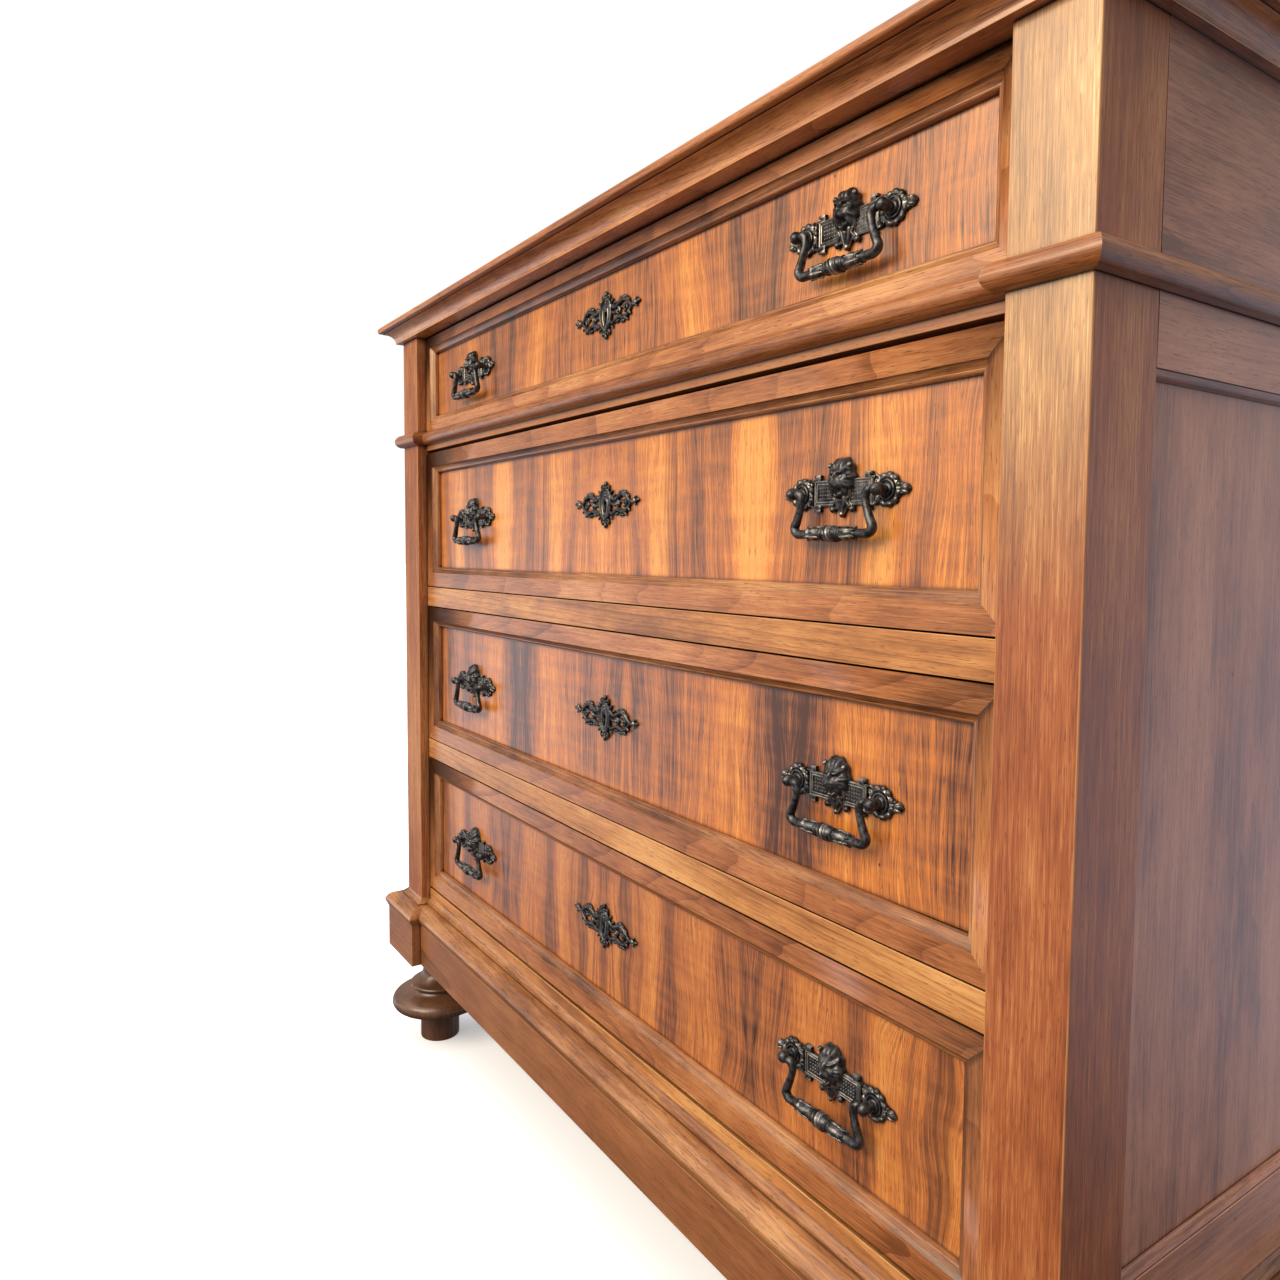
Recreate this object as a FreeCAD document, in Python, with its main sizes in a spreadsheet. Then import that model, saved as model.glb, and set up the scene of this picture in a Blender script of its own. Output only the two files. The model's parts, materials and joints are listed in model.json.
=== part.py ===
import FreeCAD, Part
import math
import os
import re

import Sketcher
from FreeCAD import Placement, Rotation, Vector

# Walnut chest of four drawers, late nineteenth century pattern, free-standing on turned feet.
# Frame: X across the front, Y from front to back, Z up, millimetres.
# The origin is on the floor, under the middle of the whole chest.

doc = FreeCAD.newDocument("chest_of_drawers")
sheet = doc.addObject("Spreadsheet::Sheet", "sizes")

# Driving sizes, one cell each
driving = {
    # Case
    "case_width": 1140,  # across the outer faces of the corner posts
    "case_depth": 513.5,  # front faces of the posts to the back
    "post_width": 58,
    "post_depth": 67,
    "post_proud": 13.5,  # how far the posts stand in front of the drawers
    "side_thickness": 20,
    "side_recess": 7,  # side panel behind the face of its frame
    "side_rail_height": 45,
    "side_bottom_rail": 63,  # seen above the plinth moulding
    "side_bead_size": 6,
    "back_thickness": 10,
    "back_boards": 6,
    "rail_depth": 80,
    "rail_thickness": 28,
    "upper_rail_thickness": 25.5,
    "base_rail_top": 240.8,
    "base_gap": 4.5,  # wider gap under the lowest drawer
    "base_rail_depth": 22,
    "dust_thickness": 6,
    "bottom_thickness": 12,
    "bottom_level": 197,
    # Top
    "top_thickness": 9,
    "top_overhang": 29.5,
    "top_round": 3.4,
    "cornice_height": 16,
    "cornice_foot": 8.5,
    "cornice_head": 22.6,
    "cornice_fillet": 2.2,
    # Half-round moulding under the top drawer
    "astragal_height": 19,
    "astragal_proud": 11,
    "astragal_lift": 1.5,  # its top edge above the top of the rail
    # Plinth
    "foot_height": 134.5,
    "plinth_height": 62,
    "plinth_proud": 24,
    "cap_height": 31.5,
    "cap_proud": 28.5,
    "cap_nose_height": 10.5,
    "cap_fillet_level": 23,
    "cap_fillet_height": 1.6,
    "cap_fillet_proud": 7.6,
    # Turned feet
    "foot_reach": 36.5,  # bun in front of the post faces
    "foot_side_reach": 31,  # bun beyond the sides of the case
    "bun_diameter": 142,
    "bun_thickness": 22,  # its rounded rim
    "bun_edge": 17,  # width of the rim's upper round
    "peg_diameter": 58,
    "peg_height": 51,
    "ring_diameter": 88,
    "ring_lift": 11,  # ring above the rim of the bun
    "ring_dome": 15,
    "neck_diameter": 50,
    # Drawers
    "drawer_gap": 1.5,
    "drawer_two_headroom": 4.5,
    "drawer_one_headroom": 2,
    "drawer_one_height": 135,
    "drawer_two_height": 195,
    "drawer_three_height": 197,
    "drawer_four_height": 197.2,
    "drawer_back_gap": 20,  # behind the closed drawers
    "front_thickness": 19,
    "frame_depth": 11,
    "frame_width": 20,
    "frame_one_width": 14,
    "bead_width": 8,
    "bead_lip": 4,
    "bead_step": 1.2,
    "drawer_side": 12,
    "drawer_side_drop": 10,  # sides lower than the front
    "drawer_bottom": 6,
    "drawer_bottom_lift": 8,
    "runner_gap": 0.3,
    "runner_width": 70,
    "runner_thickness": 16,
    "guide_height": 16,
    # Locks
    "lock_width": 62,
    "lock_height": 52,
    "lock_depth": 12,
    "lock_clearance": 0.3,
    "bolt_width": 16,
    "bolt_depth": 5,
    "bolt_short": 1,
    "mortise_depth": 12,
    "key_lift": 5,  # keyhole above the middle of the drawer
    "keyhole_diameter": 6,
    "keyhole_slot": 3,
    "keyhole_drop": 9,
    # Cast handles
    "handle_inset": 155.5,  # middle of a handle from the end of the drawer front
    "plate_thickness": 2.4,
    "plate_half_width": 31,
    "plate_half_height": 10,
    "tab_width": 8,
    "tab_height": 3.8,
    "boss_spread": 90,  # between the studs that carry the bail
    "boss_diameter": 25,
    "finial_reach": 66.5,
    "pendant_drop": 19,
    "mask_lift": 13,
    "mask_width": 27,
    "mask_height": 28,
    "mask_proud": 11,
    "pivot_proud": 13,  # bail axis in front of the drawer panel
    "stem_diameter": 6.5,
    "ball_diameter": 10,
    "bail_pin_diameter": 3.4,
    "bail_pin_clearance": 0.25,
    "bail_pin_depth": 3.2,
    "bail_end_gap": 0.3,
    "bail_thickness": 5.4,
    "bail_drop": 32,
    "bail_spread": 38.6,  # half of its width at the lower corners
    "bail_neck_round": 4,
    "bail_corner_round": 8,
    "bail_neck": 37.4,
    "grip_half_length": 15,
    "grip_gap": 4.6,
    "grip_ring_half": 3.2,
    "grip_ring": 6.2,
    "grip_swell": 5.2,
    "grip_chamfer": 2.2,
    # Keyhole plates
    "escutcheon_half_width": 67,
    "escutcheon_thickness": 2.2,
    "escutcheon_top": 24,
    "escutcheon_bottom": 26,
    "escutcheon_wing": 10,
    "escutcheon_shield": 15,
}

# Places that many pieces share, worked out from the driving sizes
derived = {
    "half_width": "case_width / 2",
    "post_face": "(foot_reach - case_depth) / 2",
    "back_face": "post_face + case_depth",
    "drawer_plane": "post_face + post_proud",
    "panel_plane": "drawer_plane + frame_depth",
    "front_back": "panel_plane + front_thickness",
    "opening": "case_width - 2 * post_width",
    "drawer_width": "opening - 2 * drawer_gap",
    "rail_back": "drawer_plane + rail_depth",
    "side_start": "post_face + post_depth",
    "side_end": "back_face - post_depth",
    "level_four": "base_rail_top + base_gap",
    "rail_three": "level_four + drawer_four_height + drawer_gap",
    "level_three": "rail_three + rail_thickness + drawer_gap",
    "rail_two": "level_three + drawer_three_height + drawer_gap",
    "level_two": "rail_two + rail_thickness + drawer_gap",
    "rail_one": "level_two + drawer_two_height + drawer_two_headroom",
    "level_one": "rail_one + upper_rail_thickness + drawer_gap",
    "cornice_level": "level_one + drawer_one_height + drawer_one_headroom",
    "top_level": "cornice_level + cornice_height",
    "cap_level": "foot_height + plinth_height",
    "astragal_level": "rail_one + upper_rail_thickness + astragal_lift - astragal_height",
    "pivot_plane": "panel_plane - pivot_proud",
    "boss_half": "boss_spread / 2",
    "handle_middle": "drawer_width / 2 - handle_inset",
    "drawer_end": "back_face - back_thickness - drawer_back_gap",
    "rim_level": "peg_height + bun_thickness",
    "ring_level": "rim_level + ring_lift",
}

for row, (alias, size) in enumerate(driving.items(), start=1):
    sheet.set(f"A{row}", alias)
    sheet.set(f"B{row}", str(size))
    sheet.setAlias(f"B{row}", alias)
doc.recompute()


def on_sheet(formula):
    # Writes a formula in terms of the sheet's own cells
    def swap(found):
        word = found.group()
        if word in derived:
            return "(" + on_sheet(derived[word]) + ")"
        return "sizes." + word if word in driving else word

    return re.sub(r"[a-z_]+", swap, str(formula))


def number(formula):
    return float(sheet.evalExpression(on_sheet(formula)))


def bind(piece, **formulas):
    for size, formula in formulas.items():
        piece.setExpression(size, on_sheet(formula))


def place(piece, x="0", y="0", z="0", axis=Vector(0, 0, 1), turn=0):
    piece.Placement = Placement(Vector(number(x), number(y), number(z)), Rotation(axis, turn))
    for letter, formula in zip("xyz", (x, y, z)):
        piece.setExpression(f"Placement.Base.{letter}", on_sheet(formula))


def named(piece, label):
    piece.Label = label
    return piece


def group(label, pieces):
    whole = named(doc.addObject("Part::Compound", label), label)
    whole.Links = pieces
    return whole


def board(label, x, y, z):
    # A plain board between three pairs of faces
    piece = named(doc.addObject("Part::Box", label), label)
    bind(piece, Length=f"({x[1]}) - ({x[0]})", Width=f"({y[1]}) - ({y[0]})", Height=f"({z[1]}) - ({z[0]})")
    place(piece, x[0], y[0], z[0])
    return piece


def cut(label, base, tools):
    tool = tools[0]
    if len(tools) > 1:
        tool = doc.addObject("Part::MultiFuse", label + "_tools")
        tool.Shapes = tools
    piece = named(doc.addObject("Part::Cut", label), label)
    piece.Base = base
    piece.Tool = tool
    return piece


def both_sides(label, make):
    return group(label, [make(f"{label}_{name}", sign) for name, sign in (("left", -1), ("right", 1))])


# Sketches

def plane_of(body, role):
    return next(feature for feature in body.Origin.OriginFeatures if feature.Role == role)


def new_body(label):
    return named(doc.addObject("PartDesign::Body", label), label)


def new_sketch(body, name, role):
    sketch = body.newObject("Sketcher::SketchObject", name)
    sketch.AttachmentSupport = [(plane_of(body, role), "")]
    sketch.MapMode = "FlatFace"
    return sketch


class Rules:
    # The constraints of one sketch, added together so that it is solved once
    def __init__(self, sketch):
        self.sketch = sketch
        self.rows = []

    def add(self, *parts, formula=None):
        self.rows.append((Sketcher.Constraint(*parts), formula))

    def pin(self, side, end, x, y):
        for kind, formula, line in (("DistanceX", x, -2), ("DistanceY", y, -1)):
            if formula == "0":
                self.add("PointOnObject", side, end, line)
            else:
                self.add(kind, -1, 1, side, end, number(formula), formula=formula)

    def finish(self):
        indices = self.sketch.addConstraint([row[0] for row in self.rows])
        for index, (_, formula) in zip(indices, self.rows):
            if formula is not None:
                self.sketch.setExpression(f"Constraints[{index}]", on_sheet(formula))


def chord_share(share, here, following):
    # Radius of an arc as a share of its chord, so that it follows its ends
    across, along = (f"(({following[axis]}) - ({here[axis]}))" for axis in (0, 1))
    return f"{share} * sqrt({across}^2 + {along}^2)"


def add_side(sketch, rules, start, stop, bend):
    # A straight side, or an arc that bends left when its radius is positive
    if bend is None:
        return sketch.addGeometry(Part.LineSegment(start, stop), False), 1, 2
    radius = number(bend)
    chord = stop - start
    square = Vector(-chord.y, chord.x, 0).normalize()
    rise = math.sqrt(max(radius ** 2 - (chord.Length / 2) ** 2, 0))
    centre = start + chord * 0.5 + square * math.copysign(rise, radius)
    low, high = (start, stop) if radius > 0 else (stop, start)
    angles = [math.atan2(point.y - centre.y, point.x - centre.x) for point in (low, high)]
    circle = Part.Circle(centre, Vector(0, 0, 1), abs(radius))
    side = sketch.addGeometry(Part.ArcOfCircle(circle, angles[0], angles[1]), False)
    rules.add("Radius", side, abs(radius), formula=f"abs({bend})")
    return (side, 1, 2) if radius > 0 else (side, 2, 1)


def outline(sketch, corners):
    # A closed outline; a third value makes an arc leave the corner: its radius, or its share of the chord
    points = [Vector(number(corner[0]), number(corner[1]), 0) for corner in corners]
    rules = Rules(sketch)
    sides = []
    for here, corner in enumerate(corners):
        bend = corner[2] if len(corner) > 2 else None
        if isinstance(bend, float):
            bend = chord_share(bend, corner, corners[(here + 1) % len(corners)])
        sides.append(add_side(sketch, rules, points[here], points[(here + 1) % len(points)], bend))
    for here, (side, first, last) in enumerate(sides):
        following = sides[(here + 1) % len(sides)]
        rules.add("Coincident", side, last, following[0], following[1])
        rules.pin(side, first, corners[here][0], corners[here][1])
    rules.finish()


def ring(sketch, x, y, diameter):
    circle = Part.Circle(Vector(number(x), number(y), 0), Vector(0, 0, 1), number(diameter) / 2)
    side = sketch.addGeometry(circle, False)
    rules = Rules(sketch)
    rules.add("Diameter", side, number(diameter), formula=diameter)
    rules.pin(side, 3, x, y)
    rules.finish()


def flats(sketch, sides, wide, high, x="0", y="0"):
    # A many-sided round; wide and high are its half sizes, measured to its flats
    corners = []
    for count in range(sides):
        angle = math.radians((count + 0.5) * 360 / sides)
        across, up = (round(trig(angle) / math.cos(math.pi / sides), 5) for trig in (math.cos, math.sin))
        corners.append((f"{x} + ({wide}) * {across}", f"{y} + ({high}) * {up}"))
    outline(sketch, corners)


def bead(body, label, role, start, stop, size, x="0", y="0"):
    # An eight-sided block along the normal of its plane; chamfers make a bead of it later
    sketch = new_sketch(body, label, role)
    sketch.AttachmentOffset = Placement(Vector(0, 0, number(start)), Rotation())
    sketch.setExpression("AttachmentOffset.Base.z", on_sheet(start))
    flats(sketch, 8, size, size, x, y)
    return pad(body, sketch, f"({stop}) - ({start})")


def chamfered(body, base, size, axis, places, middle, reach):
    # Chamfers the edges square to one axis at the given places, at least the reach away from the middle
    base.recompute(True)
    others = [other for other in range(3) if other != axis]
    edges = []
    for index, edge in enumerate(base.Shape.Edges, start=1):
        spots = [vertex.Point[axis] for vertex in edge.Vertexes]
        heart = edge.CenterOfMass
        away = math.hypot(*(heart[other] - number(at) for other, at in zip(others, middle)))
        level = any(max(abs(spot - number(at)) for spot in spots) < 0.01 for at in places)
        if level and away > number(reach) - 0.01:
            edges.append(f"Edge{index}")
    feature = body.newObject("PartDesign::Chamfer", base.Name + "_chamfer")
    feature.Base = (base, edges)
    bind(feature, Size=size)
    return feature


def mirror_corners(half):
    # Completes an outline that runs down its right half, from the top to the bottom
    left = []
    for here in range(len(half) - 1, 0, -1):
        x, y = half[here][:2]
        bend = half[here - 1][2:]
        left.append((x if x == "0" else f"-({x})", y) + bend)
    left[0] = half[-1][:2] + left[0][2:]
    return [corner for corner in half[:-1]] + left


def pad(body, sketch, length, both=False):
    feature = body.newObject("PartDesign::Pad", sketch.Name + "_pad")
    feature.Profile = sketch
    feature.SideType = "Symmetric" if both else "One side"
    bind(feature, Length=length)
    return feature


def pocket_through(body, sketch):
    feature = body.newObject("PartDesign::Pocket", sketch.Name + "_pocket")
    feature.Profile = sketch
    feature.SideType = "Symmetric"
    feature.Type = "ThroughAll"
    return feature


def revolve(body, sketch, axis):
    feature = body.newObject("PartDesign::Revolution", sketch.Name + "_turned")
    feature.Profile = sketch
    feature.ReferenceAxis = (sketch, [axis])
    return feature


def mirrored(body, features):
    feature = body.newObject("PartDesign::Mirrored", features[-1].Name + "_mirrored")
    feature.Originals = features
    feature.MirrorPlane = (plane_of(body, "YZ_Plane"), [""])
    body.Tip = feature
    return feature


# Mouldings: a length of a section, each end square (0) or mitred to turn
# an outer corner (1) or an inner corner (-1)

cut_margin = 1


def mitre(sketch, end, turn, length, reach, out, back):
    near, far = f"-({out}) - {cut_margin}", f"{back} + {cut_margin}"
    if turn > 0:
        corners = [
            (f"{end} * ({length} / 2 + {out} + {cut_margin})", near),
            (f"{end} * ({length} / 2 + {reach} + 3 * {cut_margin})", near),
            (f"{end} * ({length} / 2 + {reach} + 3 * {cut_margin})", far),
            (f"{end} * ({length} / 2 - {back} - {cut_margin})", far),
        ]
    elif turn < 0:
        corners = [
            (f"{end} * ({length} / 2 + {back} + {cut_margin})", far),
            (f"{end} * ({length} / 2 + {reach} + 3 * {cut_margin})", far),
            (f"{end} * ({length} / 2 + {reach} + 3 * {cut_margin})", near),
            (f"{end} * ({length} / 2 - {out} - {cut_margin})", near),
        ]
    else:
        corners = [
            (f"{end} * {length} / 2", near),
            (f"{end} * ({length} / 2 + {reach} + {cut_margin})", near),
            (f"{end} * ({length} / 2 + {reach} + {cut_margin})", far),
            (f"{end} * {length} / 2", far),
        ]
    outline(sketch, corners)


def moulding(label, section, length, ends, out, back="0"):
    # The section lies in Y (outwards is -Y) and Z; the length is measured where Y is 0
    body = new_body(label)
    profile = new_sketch(body, label + "_section", "YZ_Plane")
    outline(profile, section)
    grow = [{1: out, 0: "0", -1: back}[end] for end in ends]
    reach = grow[0] if number(grow[0]) > number(grow[1]) else grow[1]
    length = f"({length})"
    pad(body, profile, f"{length} + 2 * ({reach})", both=True)
    if not any(ends):
        return body
    corners = new_sketch(body, label + "_ends", "XY_Plane")
    for end, turn in zip((-1, 1), ends):
        if turn or number(reach) > 0:
            mitre(corners, end, turn, length, reach, out, back)
    pocket_through(body, corners)
    return body


def round_the_case(label, section, out, level):
    # Runs a moulding along the front, round both posts and down the sides
    inner = "half_width - post_width"
    runs = [("front", "opening", (-1, -1), "0", "drawer_plane", 0)]
    for name, sign in (("left", -1), ("right", 1)):
        side_ends = (0, 1) if sign < 0 else (1, 0)
        return_ends = (1, -1) if sign < 0 else (-1, 1)
        middle = f"{sign} * (half_width - post_width / 2)"
        runs += [
            (name + "_post", "post_width", (1, 1), middle, "post_face", 0),
            (name + "_return", "post_proud", return_ends, f"{sign} * ({inner})",
             "(post_face + drawer_plane) / 2", -90 * sign),
            (name + "_side", "case_depth", side_ends, f"{sign} * half_width",
             "(post_face + back_face) / 2", 90 * sign),
        ]
    pieces = []
    for name, length, ends, x, y, turn in runs:
        piece = moulding(f"{label}_{name}", section, length, ends, out)
        place(piece, x, y, level, turn=turn)
        pieces.append(piece)
    return group(label, pieces)


# Case

def side_x(sign, outer, inner):
    return (f"-({outer})", f"-({inner})") if sign < 0 else (inner, outer)


def post(label, sign, front, back):
    return board(label, side_x(sign, "half_width", "half_width - post_width"), (front, back),
                 ("foot_height", "cornice_level"))


side_run = ("side_start", "side_end")
frieze_foot = "astragal_level"
opening_head = "astragal_level - side_rail_height"
opening_foot = "cap_level + cap_height + side_bottom_rail"


def side_rails(label, sign):
    x = side_x(sign, "half_width", "half_width - side_thickness")
    frieze = board(label + "_frieze", x, side_run, (frieze_foot, "cornice_level"))
    upper = board(label + "_upper", x, side_run, (opening_head, frieze_foot))
    lower = board(label + "_lower", x, side_run, ("foot_height", opening_foot))
    low_bead = [("0", "0"), ("0", "side_bead_size", "side_bead_size"), ("-side_bead_size", "0")]
    high_bead = [("0", "0"), ("-side_bead_size", "0", "side_bead_size"), ("0", "-side_bead_size")]
    beads = []
    for name, level, section in (("_bead_low", opening_foot, low_bead), ("_bead_high", opening_head, high_bead)):
        bead = moulding(label + name, section, "side_end - side_start", (0, 0), "side_bead_size")
        place(bead, f"{sign} * (half_width - side_recess)", "(side_start + side_end) / 2", level, turn=90 * sign)
        beads.append(bead)
    return group(label, [frieze, upper, lower] + beads)


def side_panel(label, sign):
    x = side_x(sign, "half_width - side_recess", "half_width - side_thickness")
    return board(label, x, side_run, (opening_foot, opening_head))


def drawer_rail(label, low, high, depth, with_mortise=True):
    rail = board(label, ("-opening / 2", "opening / 2"), ("drawer_plane", f"drawer_plane + {depth}"), (low, high))
    if not with_mortise:
        return rail
    return cut(label, named(rail, label + "_blank"), [bolt_mortise(label, low)])


def bolt_mortise(label, low):
    # Takes the lock bolt of the drawer below
    return board(label + "_mortise", ("-bolt_width / 2 - lock_clearance", "bolt_width / 2 + lock_clearance"),
                 ("front_back - lock_depth - lock_clearance", "front_back"), (low, f"{low} + mortise_depth"))


def runner(label, sign, level):
    # Carries one side of a drawer and guides it
    outer = "half_width - side_thickness"
    body = new_body(label)
    sketch = new_sketch(body, label + "_section", "XZ_Plane")
    outline(sketch, [
        (f"{sign} * ({outer})", "guide_height"),
        (f"{sign} * ({outer})", "-runner_thickness"),
        (f"{sign} * ({outer} - runner_width)", "-runner_thickness"),
        (f"{sign} * ({outer} - runner_width)", "0"),
        (f"{sign} * opening / 2", "0"),
        (f"{sign} * opening / 2", "guide_height"),
    ])
    pad(body, sketch, "side_end - rail_back")
    place(body, "0", "side_end", f"{level} - runner_gap")
    return body


def dust_board(label, low):
    inner = "half_width - side_thickness - runner_width"
    z = (f"{low} - dust_thickness", low)
    return board(label, (f"-({inner})", inner), ("rail_back", "side_end"), z)


def case_pieces():
    pieces = []
    for name, sign in (("left", -1), ("right", 1)):
        pieces += [post("post_front_" + name, sign, "post_face", "side_start"),
                   post("post_rear_" + name, sign, "side_end", "back_face"),
                   side_panel("side_panel_" + name, sign), side_rails("side_rails_" + name, sign)]
    pieces += [
        drawer_rail("drawer_rail_1", "rail_one", "rail_one + upper_rail_thickness", "rail_depth"),
        drawer_rail("drawer_rail_2", "rail_two", "rail_two + rail_thickness", "rail_depth"),
        drawer_rail("drawer_rail_3", "rail_three", "rail_three + rail_thickness", "rail_depth"),
        drawer_rail("base_rail", "foot_height", "base_rail_top", "base_rail_depth", False),
    ]
    levels = ["level_one", "level_two", "level_three", "level_four"]
    pieces.append(group("runners", [
        runner(f"runner_{name}_{count}", sign, level)
        for count, level in enumerate(levels, start=1) for name, sign in (("left", -1), ("right", 1))]))
    bottom = board("bottom_board", ("-opening / 2", "opening / 2"),
                   ("drawer_plane + base_rail_depth", "back_face - back_thickness"),
                   ("bottom_level", "bottom_level + bottom_thickness"))
    pieces.append(group("dust_boards", [bottom] + [
        dust_board(f"dust_board_{count}", level + " - runner_gap")
        for count, level in enumerate(levels[:3], start=1)]))
    step = "opening / back_boards"
    pieces.append(group("back_panel", [
        board(f"back_board_{count}", (f"-opening / 2 + {count} * {step}", f"-opening / 2 + {count + 1} * {step}"),
              ("back_face - back_thickness", "back_face"), ("foot_height", "top_level"))
        for count in range(driving["back_boards"])]))
    return pieces


# Top

def top_board():
    body = new_body("top_board")
    sketch = new_sketch(body, "top_outline", "XY_Plane")
    reach = "half_width + top_overhang"
    outline(sketch, [(reach, "back_face"), (f"-({reach})", "back_face"),
                     (f"-({reach})", "post_face - top_overhang"), (reach, "post_face - top_overhang")])
    blank = pad(body, sketch, "top_thickness")
    doc.recompute()
    edges = []
    for index, edge in enumerate(blank.Shape.Edges, start=1):
        box = edge.BoundBox
        if box.ZLength < 1 and box.YMin < number("back_face") - 1:
            edges.append(f"Edge{index}")
    rounding = body.newObject("PartDesign::Fillet", "top_rounding")
    rounding.Base = (blank, edges)
    bind(rounding, Radius="min(top_round; top_thickness * 0.45)")
    place(body, z="top_level")
    return body


def cornice_section():
    return [
        ("post_width", "0"),
        ("post_width", "cornice_height"),
        ("-cornice_head", "cornice_height"),
        ("-cornice_head", "cornice_height - cornice_fillet / 2", -0.86),
        ("-cornice_foot", "cornice_fillet"),
        ("-cornice_foot", "0"),
    ]


def cornice():
    section = cornice_section()
    front = moulding("cornice_front_blank", section, "case_width", (1, 1), "cornice_head", "post_width")
    place(front, "0", "post_face", "cornice_level")
    pieces = [cut("cornice_front", front, [bolt_mortise("cornice", "cornice_level")])]
    for name, sign in (("left", -1), ("right", 1)):
        ends = (0, 1) if sign < 0 else (1, 0)
        piece = moulding("cornice_" + name, section, "case_depth", ends, "cornice_head", "post_width")
        place(piece, f"{sign} * half_width", "(post_face + back_face) / 2", "cornice_level", turn=90 * sign)
        pieces.append(piece)
    return group("cornice", pieces)


def astragal():
    radius = "astragal_height / 2"
    flat = f"astragal_proud - {radius}"
    section = [
        ("0", "astragal_height"),
        (f"-({flat})", "astragal_height", radius),
        ("-astragal_proud", radius, radius),
        (f"-({flat})", "0"),
        ("0", "0"),
    ]
    return round_the_case("astragal", section, "astragal_proud", "astragal_level")


# Plinth and feet

def plinth_cap():
    section = [
        ("0", "cap_height", -0.75),
        ("-cap_fillet_proud", "cap_fillet_level + cap_fillet_height"),
        ("-cap_fillet_proud", "cap_fillet_level", 0.76),
        ("-cap_proud", "cap_nose_height"),
        ("-cap_proud + 1.2", "cap_nose_height * 0.62"),
        ("-plinth_proud", "0"),
        ("0", "0"),
    ]
    return round_the_case("plinth_cap", section, "cap_proud", "cap_level")


def plinth_block(label, sign):
    inner = "half_width - post_width"
    body = new_body(label)
    sketch = new_sketch(body, label + "_plan", "XY_Plane")
    outline(sketch, [
        (f"{sign} * half_width", "side_start"),
        (f"{sign} * (half_width + plinth_proud)", "side_start"),
        (f"{sign} * (half_width + plinth_proud)", "post_face - plinth_proud"),
        (f"{sign} * ({inner} - plinth_proud)", "post_face - plinth_proud"),
        (f"{sign} * ({inner} - plinth_proud)", "drawer_plane"),
        (f"{sign} * ({inner})", "drawer_plane"),
        (f"{sign} * ({inner})", "post_face"),
        (f"{sign} * half_width", "post_face"),
    ])
    pad(body, sketch, "plinth_height")
    place(body, z="foot_height")
    return body


def plinth_side(label, sign):
    x = side_x(sign, "half_width + plinth_proud", "half_width")
    return board(label, x, ("side_start", "back_face"), ("foot_height", "cap_level"))


def plinth_front():
    reach = "half_width - post_width - plinth_proud"
    return board("plinth_front", (f"-({reach})", reach), ("drawer_plane - plinth_proud", "drawer_plane"),
                 ("foot_height", "cap_level"))


def foot(label, x, y):
    # Turned in one piece: peg, flattened bun, ring with a low dome, and neck
    rim, flange = "bun_diameter / 2", "ring_diameter / 2"
    body = new_body(label)
    sketch = new_sketch(body, label + "_profile", "XZ_Plane")
    outline(sketch, [
        ("0", "0"),
        ("peg_diameter / 2", "0"),
        ("peg_diameter / 2", "peg_height"),
        (f"{rim} - 0.4 * bun_edge", "peg_height"),
        (rim, "peg_height + 0.4 * bun_thickness"),
        (f"{rim} - 0.3 * bun_edge", "peg_height + 0.82 * bun_thickness"),
        (f"{rim} - bun_edge", "rim_level"),
        (f"{flange} + 3", "ring_level - 0.5 * ring_lift"),
        (flange, "ring_level"),
        (flange, "ring_level + 2.5"),
        (f"{flange} - 8", "ring_level + 3 + 0.6 * ring_dome"),
        ("neck_diameter / 2", "ring_level + 3 + ring_dome"),
        ("neck_diameter / 2", "foot_height"),
        ("0", "foot_height"),
    ])
    revolve(body, sketch, "V_Axis")
    place(body, x, y)
    return body


def feet(label, y):
    x = "half_width + foot_side_reach - bun_diameter / 2"
    return both_sides(label, lambda name, sign: foot(name, f"{sign} * ({x})", y))


# Drawers

def frame_member(label, length, width):
    # One mitred side of the moulded frame, front face up, sight edge at Y = 0
    section = [
        ("0", "0"),
        ("0", "bead_lip", 0.8),
        ("-bead_width / 3", "bead_lip + bead_width / 4", -2.2),
        ("-bead_width", "frame_depth - bead_step"),
        ("-bead_width", "frame_depth"),
        (f"-bead_width - {width}", "frame_depth"),
        (f"-bead_width - {width}", "0"),
    ]
    return moulding(label, section, length, (1, 1), f"(bead_width + {width})")


def drawer_frame(label, level, height, width):
    inset = f"(bead_width + {width})"
    middle = f"{level} + {height} / 2"
    across = f"drawer_width - 2 * {inset}"
    upright = f"{height} - 2 * {inset}"
    members = []
    for name, angle, length in (("bottom", 0, across), ("right", 90, upright), ("top", 180, across),
                                ("left", 270, upright)):
        member = frame_member(f"{label}_{name}", length, width)
        side = round(math.sin(math.radians(angle)))
        rise = -round(math.cos(math.radians(angle)))
        place(member, f"{side} * ({across}) / 2", "panel_plane", f"{middle} + {rise} * ({upright}) / 2")
        turn = Rotation(Vector(0, 1, 0), -angle).multiply(Rotation(Vector(1, 0, 0), 90))
        member.Placement = Placement(member.Placement.Base, turn)
        members.append(member)
    return group(label, members)


def keyhole(label, key, low, high):
    # Round head and slot below it, along Y
    bore = doc.addObject("Part::Cylinder", label + "_round")
    bind(bore, Radius="keyhole_diameter / 2", Height=f"({high}) - ({low})")
    place(bore, "0", high, key, Vector(1, 0, 0), 90)
    slot = board(label + "_slot", ("-keyhole_slot / 2", "keyhole_slot / 2"), (low, high),
                 (f"{key} - keyhole_drop", key))
    return [bore, slot]


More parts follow.
